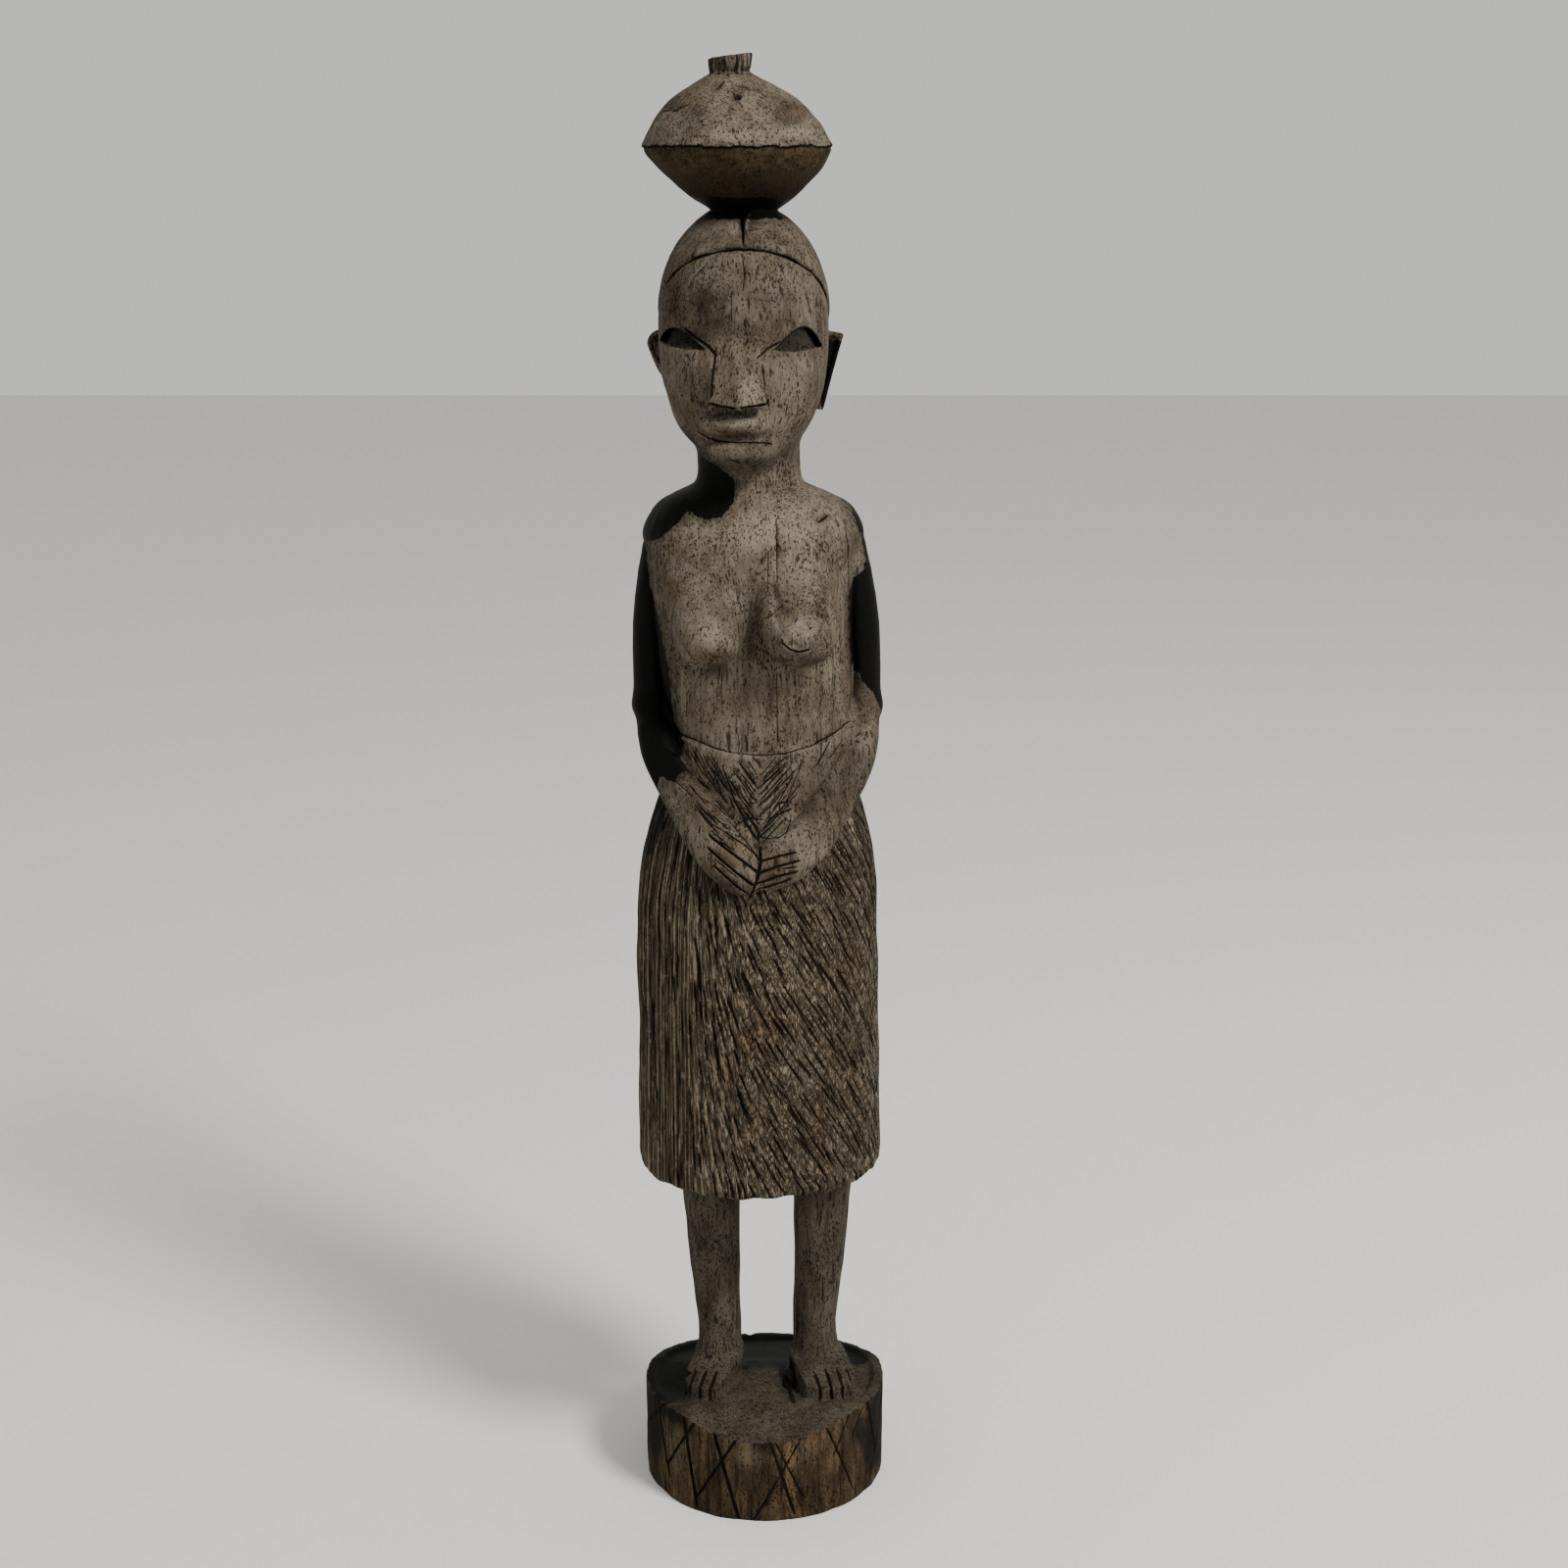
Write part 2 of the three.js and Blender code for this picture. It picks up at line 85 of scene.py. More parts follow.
# The face, seen from the front.
FACE_X = -7.7
NOSE_ROOT, NOSE_FOOT, NOSE_HALF = 412, 392.6, 6.9
EYE_START, EYE_LENGTH, EYE_LEVEL = 10.4, 15.8, 408.4
EYE_HEIGHTS = {-1: 5.6, 1: 7.0}  # at the viewer's left, and at the right
HAIRLINE_FRONT, HAIRLINE_BACK, HAIRLINE_SLOPE = 440, 386, 0.87

# Level slices of the wood: height, middle's x, half-width, reach to the front, reach to the back.
TORSO = (
    (252, -1.4, 30, 30.5, 25),
    (265, -1.4, 30, 29, 25),
    (278, -1.2, 30.4, 26.6, 23.5),
    (300, -2.6, 33, 25.4, 24),
    (320, -3.8, 33.8, 25.4, 26.5),
    (338, -4.2, 35.0, 24.5, 27),
    (348, -4.0, 35.4, 22.5, 25),
    (354, -4.0, 32.4, 20, 22),
    (359, -4.3, 26.4, 17.4, 19.5),
    (363, -4.7, 17.6, 14.6, 17.5),
    (368, -5.0, 13, 12, 14),
)
NECK = (
    (352, -4.6, 17.8, 14.5, 18),
    (366, -5.0, 17.2, 14.5, 17.5),
    (392, -5.6, 17.4, 16, 17.5),
)
SKIRT = (
    (118, -2.2, 43, 42.6, 42.8),
    (150, -2.2, 42.6, 42.2, 42.6),
    (205, -2.7, 41.8, 41.2, 42),
    (225, -2.5, 41.2, 39.6, 41.4),
    (238, -2.2, 39.4, 38, 40),
    (250, -2.1, 36.2, 36, 37),
    (262, -1.8, 32, 33, 31.5),
    (278, -1.3, 30.2, 28.6, 25.4),
    (286, -1.5, 30, 26.6, 24),
)
VESSEL = (
    (448, -6.3, 8),
    (451.5, -6.4, 11.4),
    (455, -6.8, 16.6),
    (460, -7.3, 22.3),
    (466, -8.0, 28.1),
    (469.6, -8.4, 30.3),
    (471.4, -8.5, 30.9),
    (473, -8.6, 30),
    (478, -8.8, 27.2),
    (482, -9.1, 24.2),
    (486.2, -9.5, 19.8),
    (490.5, -10.0, 12.8),
    (493.6, -10.4, 7),
)

# Limbs, as rounds on a path: x, y, z, radius.
RIGHT_UPPER_ARM = (
    (-32.4, 3, 348.5, 6.6),
    (-35, 3, 338, 8.9),
    (-37.9, 3, 314, 9.5),
    (-38.7, 2, 287.5, 8.3),
)
LEFT_UPPER_ARM = (
    (25, 3, 348.5, 6.6),
    (28, 3, 338, 8.9),
    (31.9, 3, 314, 9.5),
    (33.3, 2, 286.5, 8.4),
)
RIGHT_FOREARM = (
    (-38.0, 1, 286, 5.8),
    (-36, -12, 276, 6.4),
    (-29.6, -22.5, 264, 7.1),
    (-20.8, -30.4, 252.6, 8.0),
    (-13.4, -33.4, 244.6, 9.2),
    (-7.2, -34.6, 238.6, 8.8),
)
LEFT_FOREARM = (
    (32.8, 1, 285.5, 6.0),
    (30.8, -13, 274, 6.8),
    (24.6, -23.4, 261.6, 7.5),
    (16.4, -30.8, 250.6, 8),
    (8.4, -33.6, 243.6, 8.8),
    (2.2, -34.6, 240.2, 8.6),
)
RIGHT_BREAST = (
    (-21.4, -13, 341, 8.6),
    (-20, -19, 330, 9.6),
    (-18.8, -25.8, 320, 9.4),
    (-17.9, -31.0, 314.0, 7.8),
)
LEFT_BREAST = (
    (9.6, -13, 341, 8.6),
    (10.2, -19.5, 330, 10),
    (11.0, -26.8, 320.4, 10.4),
    (11.8, -31.8, 316.0, 9.2),
)
LEG_PATHS = (
    ((-20.5, 2, 126, 11.2), (-18.6, 2, 80, 9.0), (-17, 2, 56, 7.8), (-16.8, 1, 42, 8.2)),
    ((20.6, 2, 126, 11.3), (19.2, 2, 80, 8.9), (17.6, 2, 56, 7.8), (18.6, 1, 42, 8.2)),
)
# Each foot: its middle's x, half-width, turn outwards, and the gaps between its toes.
FEET = ((-19.6, 7.6, -0.3, (-3.8, 0.1, 4.0)), (20.2, 9.9, 0.26, (-4.6, -0.4, 3.8, 7.6)))
FOOT_Y, FOOT_REACH = -6.0, 14.4
TOE_TOP, INSTEP, FOOT_SLOPE = 39.4, 44.5, 0.42

# The head's rounded masses: centre and half-sizes.
CRANIUM = (-6.7, 0, 417.5, 27.7, 29.5, 35.6)
JAW = (-6.6, -7, 400, 25.8, 22.6, 30.6)
CHIN = (-6.8, -19.4, 374.8, 9.6, 9.0, 7.2)
UPPER_LIP = (-9.2, -23.8, 385.2, 11.6, 8.6, 4.6)
LOWER_LIP = (-8.9, -24.2, 375.8, 10.8, 7.4, 4.4)
EAR_FRONT, EAR_LOW, EAR_HIGH = 1.5, 386.8, 412.6


@functools.cache
def curve_points(rows, column):
    """Close points on a smooth curve through one column of the rows: their heights and their values."""
    heights = np.array([row[0] for row in rows], float)
    values = np.array([row[column] for row in rows], float)
    slopes = np.gradient(values, heights)
    dense = np.linspace(heights[0], heights[-1], 1500)
    i = np.clip(np.searchsorted(heights, dense, side="right") - 1, 0, len(heights) - 2)
    span = heights[i + 1] - heights[i]
    t = (dense - heights[i]) / span
    bend = t * (1 - t) * span * ((1 - t) * slopes[i] - t * slopes[i + 1])
    return dense, values[i] + (values[i + 1] - values[i]) * t * t * (3 - 2 * t) + bend


def curve_through(rows, column, at):
    """The smooth curve through one column of the rows, read at the heights given."""
    return np.interp(at, *curve_points(rows, column)).astype(np.float32)


@functools.cache
def smooth_path(rounds, links=9):
    """The same path in more and shorter links."""
    rows = tuple((i, *r) for i, r in enumerate(rounds))
    at = np.linspace(0, len(rounds) - 1, links + 1)
    return tuple(zip(*(curve_through(rows, column, at).tolist() for column in (1, 2, 3, 4))))


def mix(a, b, t):
    """From a, at t = 0, to b, at t = 1."""
    return a + (b - a) * t


def ramp(value, start, end):
    """0 before start, 1 after end, smooth between. Start may be above end."""
    t = np.clip((value - start) / (end - start), 0, 1)
    return t * t * (3 - 2 * t)


def bell(value, middle, width):
    """1 at the middle, falling to nearly 0 at twice the width from it."""
    return np.exp(-(((value - middle) / width) ** 2))


def join(a, b, soft):
    """Both forms, with a rounded inner corner about as wide as soft."""
    near = np.maximum(soft - np.abs(a - b), 0) / soft
    return np.minimum(a, b) - near * near * soft / 4


def cut(a, b, soft):
    """The first form without the second."""
    return -join(-a, b, soft)


def slices(rows, squareness, x, y, z):
    """A form given by level slices. Squareness 2 makes them oval, and more makes them boxier."""
    wide = curve_through(rows, 2, z)
    deep = np.where(y < 0, curve_through(rows, 3, z), curve_through(rows, 4, z))
    across = np.abs(x - curve_through(rows, 1, z)) / wide
    reach = (across**squareness + (np.abs(y) / deep) ** squareness) ** (1 / squareness)
    past_ends = np.maximum(rows[0][0] - z, z - rows[-1][0])
    return np.maximum((reach - 1) * np.minimum(wide, deep), past_ends)


def egg(mass, x, y, z, squareness=2.0):
    """A rounded mass, oval or boxier when seen from above."""
    ex, ey, ez, a, b, c = mass
    level = np.abs((x - ex) / a) ** squareness + np.abs((y - ey) / b) ** squareness
    return (np.sqrt(level ** (2 / squareness) + ((z - ez) / c) ** 2) - 1) * min(a, b, c)


def limb(rounds, x, y, z, widen=1.0):
    """A tapering tube through rounds, stretched sideways by widen."""
    form = np.full(np.shape(x), 99.0, np.float32)
    for (px, py, pz, pr), (qx, qy, qz, qr) in itertools.pairwise(rounds):
        dx, dy, dz = qx - px, qy - py, qz - pz
        t = ((x - px) * dx + (y - py) * dy + (z - pz) * dz) / (dx * dx + dy * dy + dz * dz)
        t = np.clip(t, 0, 1)
        sideways = (x - px - t * dx) / widen
        away = np.sqrt(sideways**2 + (y - py - t * dy) ** 2 + (z - pz - t * dz) ** 2)
        form = np.minimum(form, away - mix(pr, qr, t))
    return form


def rough(x, y, z, size, seed):
    """Smooth random values from -1 to 1, in lumps about size millimetres across."""
    cells_round = 32
    lattice = np.random.default_rng(seed).uniform(-1, 1, (cells_round,) * 3).astype(np.float32)
    sizes = size if isinstance(size, tuple) else (size, size, size)
    total = np.zeros(np.shape(x), np.float32)
    cells, parts = [], []
    for value, wide in zip((x, y, z), sizes):
        scaled = np.asarray(value, np.float32) / wide
        cell = np.floor(scaled)
        part = scaled - cell
        cells.append(cell.astype(np.int32))
        parts.append(part * part * (3 - 2 * part))
    for corner in itertools.product((0, 1), repeat=3):
        weight = 1.0
        for part, side in zip(parts, corner):
            weight = weight * (part if side else 1 - part)
        spot = [(cell + side) % cells_round for cell, side in zip(cells, corner)]
        total += weight * lattice[spot[0], spot[1], spot[2]]
    return total


def nose(x, y, z):
    """A broad wedge of two planes that meet in a ridge, with a flat underside."""
    side = np.abs(x - FACE_X + 0.5)
    down = np.clip((NOSE_ROOT - z) / (NOSE_ROOT - NOSE_FOOT), 0, 1)
    width = NOSE_HALF + 2.3 * down
    ridge = -28.6 - 8.4 * down**1.2
    front = (ridge + (0.30 + 0.12 * down) * side - y) * 0.92
    under = (NOSE_FOOT - z) + 0.3 * (y + 30) - 0.05 * side
    return np.maximum.reduce([side - width, front, under, z - (NOSE_ROOT + 2), y + 18])


def eye(side, x, z):
    """How far outside the eye's hollow a point is from the front, how far along it and how far up it lies.

    Side is -1 for the eye at the viewer's left, 1 for the other.
    """
    along = (side * (x - FACE_X) - EYE_START) / EYE_LENGTH
    t = np.clip(along, 0, 1)
    middle = EYE_LEVEL + (1.8 * t if side < 0 else 0.4 * t)
    upper = middle + EYE_HEIGHTS[side] * np.maximum(np.sin(np.pi * t**1.4), 0) ** 0.8
    lower = middle - 0.9 * np.sin(np.pi * t)
    past_ends = (np.abs(along - 0.5) - 0.5) * EYE_LENGTH
    outside = np.maximum(np.maximum(z - upper, lower - z), past_ends)
    return outside, along, (z - lower) / np.maximum(upper - lower, 1)


def hairline(y):
    """The height of the cap's edge, high on the forehead and low at the back."""
    return np.maximum(HAIRLINE_FRONT - HAIRLINE_SLOPE * (y + 22.9), HAIRLINE_BACK)


def right_ear(x, y, z):
    """The ear at the viewer's right: a dish from the front, a half-round from the side."""
    out = x - CRANIUM[0]
    face = y - EAR_FRONT - 0.2 * (out - 24)
    edge = (out - mix(26.2, 33.2, (z - 387) / 25)) * 0.95
    top = z - EAR_HIGH - 0.2 * (27.5 - out)
    shell = (np.hypot(face / 8.5, (z - 399.7) / 13.6) - 1) * 8.5
    form = np.maximum.reduce([edge, top, EAR_LOW - z, -face, shell, 14 - out])
    dish = np.maximum(np.maximum(edge, top) + 1.7, face - 1.1)
    return cut(form, dish, 0.6)


def left_ear(x, y, z):
    """The ear at the viewer's left, small and worn round."""
    out = CRANIUM[0] - x
    rise = np.clip((z - 395) / (408.3 - 395), 0, 1)
    middle_out, middle_up = mix(24.2, 27.0, rise), mix(399.0, 408.0, rise)
    edge = np.hypot(out - middle_out, z - middle_up) - mix(3.4, 5.0, rise)
    shell = (np.hypot((y - EAR_FRONT) / 7.5, (z - 404) / 11) - 1) * 7.5
    form = np.maximum.reduce([edge, EAR_FRONT - y, shell, 14 - out])
    dish = np.maximum(edge + 1.6, y - EAR_FRONT - 1.3)
    return cut(form, dish, 0.6)


def head(x, y, z):
    """Skull and face, with the eyes sunk in and the cap standing proud behind its hairline."""
    form = join(egg(CRANIUM, x, y, z, 2.15), egg(JAW, x, y, z, 2.2), 7)
    form = join(form, egg(CHIN, x, y, z), 5)
    for side, deep in ((-1, 1.2), (1, 0.0)):
        hollow = (FACE_X + side * 14.5, -33 + deep, 409 + 2.5 * (side < 0), 12, 6.5, 5.5)
        form = cut(form, egg(hollow, x, y, z), 4)
    form = join(form, egg(UPPER_LIP, x, y, z, 3), 2)
    form = join(form, egg(LOWER_LIP, x, y, z, 2.6), 2)
    form = join(form, nose(x, y, z), 0.8)
    for side in (-1, 1):
        outside, along, up = eye(side, x, z)
        corner = ramp(along + 0.03 * (z - 411), 0.76, 0.82)
        deep = 0.5 + 1.5 * np.clip(up, 0, 1) + 1.6 * corner + 0.5 * (side < 0)
        sunk = np.maximum(outside, -form - deep)
        form = np.where(y < -2, np.maximum(form, -sunk), form)
    line = (z - hairline(y) + 0.35 * rough(x, y, z, 5.0, 8)) * 0.76
    form = form - 0.6 * ramp(line, -0.3, 0.4) + 1.3 * bell(line, -0.1, 0.5)
    return join(form, np.minimum(right_ear(x, y, z), left_ear(x, y, z)), 0.8)


def crown_split(form, x, y, z):
    """The drying crack down the crown, with a flake gone beside it."""
    height = np.clip((z - 440.5) / 11, 0, 1)
    split = np.abs(x + 6.8 - 0.4 * (1 - height)) - (0.15 + 1.35 * height) * (1 + form / 7)
    flake = 0.6 * np.clip(x + 11.4, 0, 4.4) * ramp(z, 442, 446.5) * (x < -6.8)
    second = 1.2 * bell(x + 4.4 + 0.25 * (449 - z), 0, 0.45) * ramp(z, 443.5, 445) * ramp(z, 451, 449)
    front = (y < 0) & (z > 439) & (z < 453)
    return np.where(front, np.maximum(form + flake + second, -split), form)


def seam_height(x, y):
    """The height of the uneven seam between the vessel's lid and its bowl."""
    level = np.zeros_like(x)
    return SEAM + 0.5 * rough(x, y, level, 3.4, 21) + 0.35 * rough(x, y, level, 1.3, 22) - 0.25


def vessel(x, y, z):
    """The closed vessel: a wide bowl and lid with a chipped seam, and a stopper cut off at a slant."""
    form = np.hypot(x - curve_through(VESSEL, 1, z), y) - curve_through(VESSEL, 2, z)
    form = np.maximum(form * 0.72, np.maximum(VESSEL[0][0] - z, z - VESSEL_TOP))
    seam = seam_height(x, y) - z
    form = form + 0.5 * ramp(seam, -0.05, 0.3) * ramp(seam, 1.6, 0.5) + 0.25 * ramp(seam, 0.2, 0.8)
    chip = (x - 18.8) * 0.84 - (y + 9.5) * 0.44 + (z - 472) * 0.3 + 0.4 * rough(x, y, z, 1.8, 5)
    form = np.maximum(form, chip)
    pit = egg((-8.2, -19.6, 486, 1.5, 2, 1.5), x, y, z)
    form = cut(form, pit, 0.5)
    across = x - (CORK_X + 0.1)
    top = CORK_TOP + 0.13 * across + 0.2 * rough(x, y, z, 2.0, 6)
    fluted = 0.15 * rough(x, y, z, (1.2, 1.2, 20.0), 7)
    cork = np.hypot(x - CORK_X, y) - mix(6.6, 7.4, (z - 493) / 7) + fluted
    groove = 0.5 * bell(z, 494.2 + 0.1 * across, 0.5)
    cork = np.maximum(cork + groove, np.maximum(485 - z, z - top))
    return np.minimum(form, cork)


def base_top(x, y):
    """The top falls to the back, and in front in two slopes with a low middle."""
    back = BASE_TOP - 0.21 * np.maximum(y - 10, 0)
    hollow = 1.6 * ramp(np.hypot(x - BASE_X, y), 40.5, 38.5) * ramp(y, -25, -10)
    front = BASE_TOP + 0.28 * (y + 21.6) + 0.114 * np.abs(x - BASE_X)
    between_feet = 37.2 - 3.4 * ((x + 0.6) / 14) ** 2 - 3.2 * ((y + 9) / 19) ** 2
    top = -join(-(back - hollow), -between_feet, 2)
    return join(top, front + 1.3 * bell(x, 0.0, 8.0), 1.6)


def base(x, y, z):
    """The round base, left a little uneven by the axe, with a nick in its back edge."""
    away = np.hypot(x - BASE_X, y) - BASE_R + 0.25 * rough(x, y, z, (6.0, 6.0, 30.0), 9)
    nick = 1.4 * bell(np.hypot(x + 6.5, y - 42), 0, 1.2)
    return np.maximum(away, (z - base_top(x, y) + nick) * 0.96)


def foot(place, half, turn, x, y, z):
    """A blocky foot that slopes down to the toes."""
    c, s = math.cos(turn), math.sin(turn)
    u, v = (x - place) * c + (y - FOOT_Y) * s, (y - FOOT_Y) * c - (x - place) * s
    outline = ((np.abs(u) / half) ** 4 + (np.abs(v) / FOOT_REACH) ** 4) ** 0.25
    slope = (z - (TOE_TOP + FOOT_SLOPE * (v + FOOT_REACH) - 0.5 * (u / half) ** 2)) * 0.9
    top = -join(-slope, -(z - INSTEP), 3)
    return np.maximum(np.maximum((outline - 1) * half, top), 30 - z)


def wrap_edge(x):
    """The height of the skirt's upper edge, which sags in the middle."""
    return WAIST + 0.0054 * (x + 1.5) ** 2 + 0.02 * (x + 1)


def lap(x, y, z):
    """1 on the plain lap between the forearms, 0 on the stroked skirt."""
    return ramp(z - (236 + 0.95 * np.abs(x + 2)), -2, 2) * ramp(y, 2, -6)


def skirt_core(x, y, z):
    """The wood of the skirt. Below the lap it stays under the surface that carries the strokes."""
    wood = slices(SKIRT, 2, x, y, z)
    wood = np.maximum(wood, z - wrap_edge(x))
    hidden = 2.4 * (1 - np.maximum(lap(x, y, z), ramp(z, 266, 271)))
    return np.maximum(wood + hidden, HEM + 1.5 - z)


def bust(x, y, z):
    """Chest, belly, neck, breasts and upper arms, with the broken and the worn breast."""
    chest = slices(TORSO, 2.5, x, y, z)
    proud = 1.2 * ramp(wrap_edge(x) - z, -0.2, 0.2) * ramp(y, -5, -14)
    form = join(chest - proud, slices(NECK, 2, x, y, z), 4)
    soft = 0.8 + 5 * ramp(z, 316, 338)
    form = join(form, limb(RIGHT_BREAST, x, y, z, 1.28), soft)
    form = join(form, limb(LEFT_BREAST, x, y, z, 1.28), soft)
    tips = ramp(y, -24, -27)
    above = z - (314.4 + 0.13 * (x - 11.6) ** 2)
    broken = ramp(above, -0.25, 0.25) * ramp(above, 12, 7) * ramp(np.abs(x - 11.4), 10, 7.5) * tips
    form = form + broken * (1.3 + 0.7 * rough(x, y, z, 1.3, 12))
    worn = ramp(np.hypot(x + 14, z - 309), 6, 2) * tips
    form = form + worn * (0.2 + 0.6 * rough(x, y, z, 1.5, 13))
    for arm in (RIGHT_UPPER_ARM, LEFT_UPPER_ARM):
        side = limb(smooth_path(arm), x, y, z, 0.74)
        crease = 0.7 * bell(form - side, 0, 0.7) * ramp(z, 352, 340)
        form = join(form, side, 0.6 + 5 * ramp(z, 336, 348)) + crease
    return form


def forearm(rounds, x, y, z):
    """A forearm and hand, its front flattened to follow the roundness of the skirt."""
    tube = limb(smooth_path(rounds, 14), x, y, z, 1.05)
    flat = slices(SKIRT, 2, x, y, z) - (4.4 + 9 * ramp(y, -27, -12))
    return cut(tube, -flat, 3)


def carving(x, y, z):
    """The whole figure but for the strokes of the skirt. Each part is worked out near its own heights."""
    form = np.full(x.shape, 50.0, np.float32)

    def zone(low, high, make, soft=None):
        inside = (z > low) & (z < high)
        if not inside.any():
            return
        at = x[inside], y[inside], z[inside]
        part = make(*at)
        if soft is None:
            form[inside] = np.minimum(form[inside], part)
        else:
            form[inside] = join(form[inside], part, soft(*at))

    def neck_soft(x, y, z):
        return 3.0

    def elbow_soft(x, y, z):
        return 0.4 + 4 * ramp(z, 278, 288)

    def ankle_soft(x, y, z):
        return 0.3 + 3 * ramp(y, -14, -8)

    zone(252, 394, bust)
    zone(364, 456, head, neck_soft)
    crown = (z > 439) & (z < 453)
    form[crown] = crown_split(form[crown], x[crown], y[crown], z[crown])
    zone(446, 502, vessel)
    zone(100, 288, skirt_core)
    for rounds in (RIGHT_FOREARM, LEFT_FOREARM):
        zone(222, 304, functools.partial(forearm, rounds), elbow_soft)
    for path in LEG_PATHS:
        zone(28, 138, functools.partial(limb, smooth_path(path)))
    zone(-4, 46, base)
    for place, half, turn, _ in FEET:
        zone(28, 56, functools.partial(foot, place, half, turn), ankle_soft)
    form += 0.2 * rough(x, y, z, 8.0, 3) + 0.12 * rough(x, y, z, (2.0, 2.0, 7.0), 4)
    return np.maximum(form, -z)


def mesh_of_form(form, low, high, cell):
    """The form's surface as quads, from a grid that is only filled in near the surface."""
    low = np.asarray(low, np.float32)
    block = 8
    counts = [int(math.ceil((b - a) / (cell * block))) for a, b in zip(low, high)]
    shape = [n * block + 1 for n in counts]
    centres = [low[i] + cell * block * (np.arange(counts[i]) + 0.5) for i in range(3)]
    gx, gy, gz = (g.ravel().astype(np.float32) for g in np.meshgrid(*centres, indexing="ij"))
    coarse = form(gx, gy, gz).reshape(counts)
    near = np.abs(coarse) < cell * block * 1.1
    far = 9.0
    values = np.full(shape, far, np.float32)
    filled = np.repeat(np.repeat(np.repeat(coarse < 0, block, 0), block, 1), block, 2)
    values[:-1, :-1, :-1][filled] = -far
    wanted = np.zeros(shape, bool)
    for i, j, k in np.argwhere(near) * block:
        wanted[i:i + block + 1, j:j + block + 1, k:k + block + 1] = True
    points = (low + cell * np.argwhere(wanted)).astype(np.float32)
    values[wanted] = form(points[:, 0], points[:, 1], points[:, 2])
    return surface_nets(values, low, cell)


def surface_nets(values, low, cell):
    """One point in each grid cell that the surface crosses, and a quad across each crossed grid edge."""
    solid = values < 0
    corners = list(itertools.product((0, 1), repeat=3))
    n = [s - 1 for s in values.shape]
    count = sum(solid[i:i + n[0], j:j + n[1], k:k + n[2]].astype(np.int8) for i, j, k in corners)
    active = np.argwhere((count > 0) & (count < 8))
    number = np.full(n, -1, np.int32)
    number[tuple(active.T)] = np.arange(len(active))
    at = {c: values[active[:, 0] + c[0], active[:, 1] + c[1], active[:, 2] + c[2]] for c in corners}
    total = np.zeros((len(active), 3))
    hits = np.zeros(len(active))
    for a, b in itertools.combinations(corners, 2):
        if sum(abs(p - q) for p, q in zip(a, b)) != 1:
            continue
        va, vb = at[a], at[b]
        crossed = (va < 0) != (vb < 0)
        t = np.where(crossed, va / np.where(crossed, va - vb, 1), 0)
        spot = np.array(a) + t[:, None] * (np.array(b) - np.array(a))
        total += np.where(crossed[:, None], spot, 0)
        hits += crossed
    points = low + cell * (active + total / hits[:, None])
    quads = []
    for axis in range(3):
        u, v = (axis + 1) % 3, (axis + 2) % 3
        first, second = (np.moveaxis(solid, axis, 0)[s] for s in (slice(0, -1), slice(1, None)))
        first, second = np.moveaxis(first, 0, axis), np.moveaxis(second, 0, axis)
        edges = np.argwhere(first != second)
        edges = edges[(edges[:, u] > 0) & (edges[:, v] > 0)]
        edges = edges[(edges[:, u] < n[u]) & (edges[:, v] < n[v])]
        ring = []
        for du, dv in ((0, 0), (-1, 0), (-1, -1), (0, -1)):
            cells = edges.copy()
            cells[:, u] += du
            cells[:, v] += dv
            ring.append(number[tuple(cells.T)])
        ring = np.stack(ring, axis=1)
        inward = ~first[tuple(edges.T)]
        ring[inward] = ring[inward][:, ::-1]
        quads.append(ring)
    return points, np.concatenate(quads)


def stroke_lean(angle):
    """How far the skirt's strokes lean from upright. 0 is the front, pi / 2 the figure's left side."""
    turned = (angle + np.pi) % (2 * np.pi) - np.pi
    front = 0.62 * ramp(turned, -0.75, 0.35) * (1 - 0.45 * ramp(turned, 0.8, 1.6))
    return front * (1 - ramp(turned, 1.8, 3.0))


AROUND = 2 * np.pi * SKIRT_ROUND
STROKE_STEP = 0.38
STROKE_COLUMNS = int(AROUND / STROKE_STEP)
STROKE_HEIGHTS = np.arange(273.0, HEM + 2.4, -1.6 * STROKE_STEP)
STROKE_ROWS, STROKE_PITCH = 8.0, 2.1


def stroke_depths():
    """How deep the knife went at each point of a grid around the skirt."""
    rng = np.random.default_rng(11)
    depth = np.zeros((len(STROKE_HEIGHTS), STROKE_COLUMNS), np.float32)
    for level in np.arange(282, HEM + 2, -STROKE_ROWS):
        for start in np.arange(0, AROUND, STROKE_PITCH):
            s, top = start + rng.uniform(-0.7, 0.7), level + rng.uniform(-4, 4)
            length, half, deep = rng.uniform(8, 15), rng.uniform(0.45, 0.75), rng.uniform(0.3, 0.85)
            bend, skip = rng.uniform(-0.02, 0.02), rng.uniform()
            lean = stroke_lean(s / SKIRT_ROUND - np.pi)
            upright = lean < 0.08
            if upright and skip < 0.45:
                continue
            cut_stroke(depth, s, top, length * 1.9 if upright else length, half, deep, lean, bend)
    return depth


def cut_stroke(depth, s, top, length, half, deep, lean, bend):
    """One pull of the knife, pointed at both ends, from its top down."""
    wide = AROUND / STROKE_COLUMNS
    rows = np.flatnonzero((STROKE_HEIGHTS < top) & (STROKE_HEIGHTS > top - length))
    if len(rows) == 0:
        return
    down = top - STROKE_HEIGHTS[rows]
    t = down / length
    middle = s + lean * down + bend * down * (length - down) * 0.5
    reach = int(half / wide) + 2
    column = np.round(middle / wide).astype(int)[:, None] + np.arange(-reach, reach + 1)
    across = np.abs(column * wide - middle[:, None]) / half
    along = deep * np.minimum(t * 5, (1 - t) * 2.2).clip(0, 1)
    profile = np.clip(1 - across, 0, 1) * along[:, None]
    column %= STROKE_COLUMNS
    depth[rows[:, None], column] = np.maximum(depth[rows[:, None], column], profile)


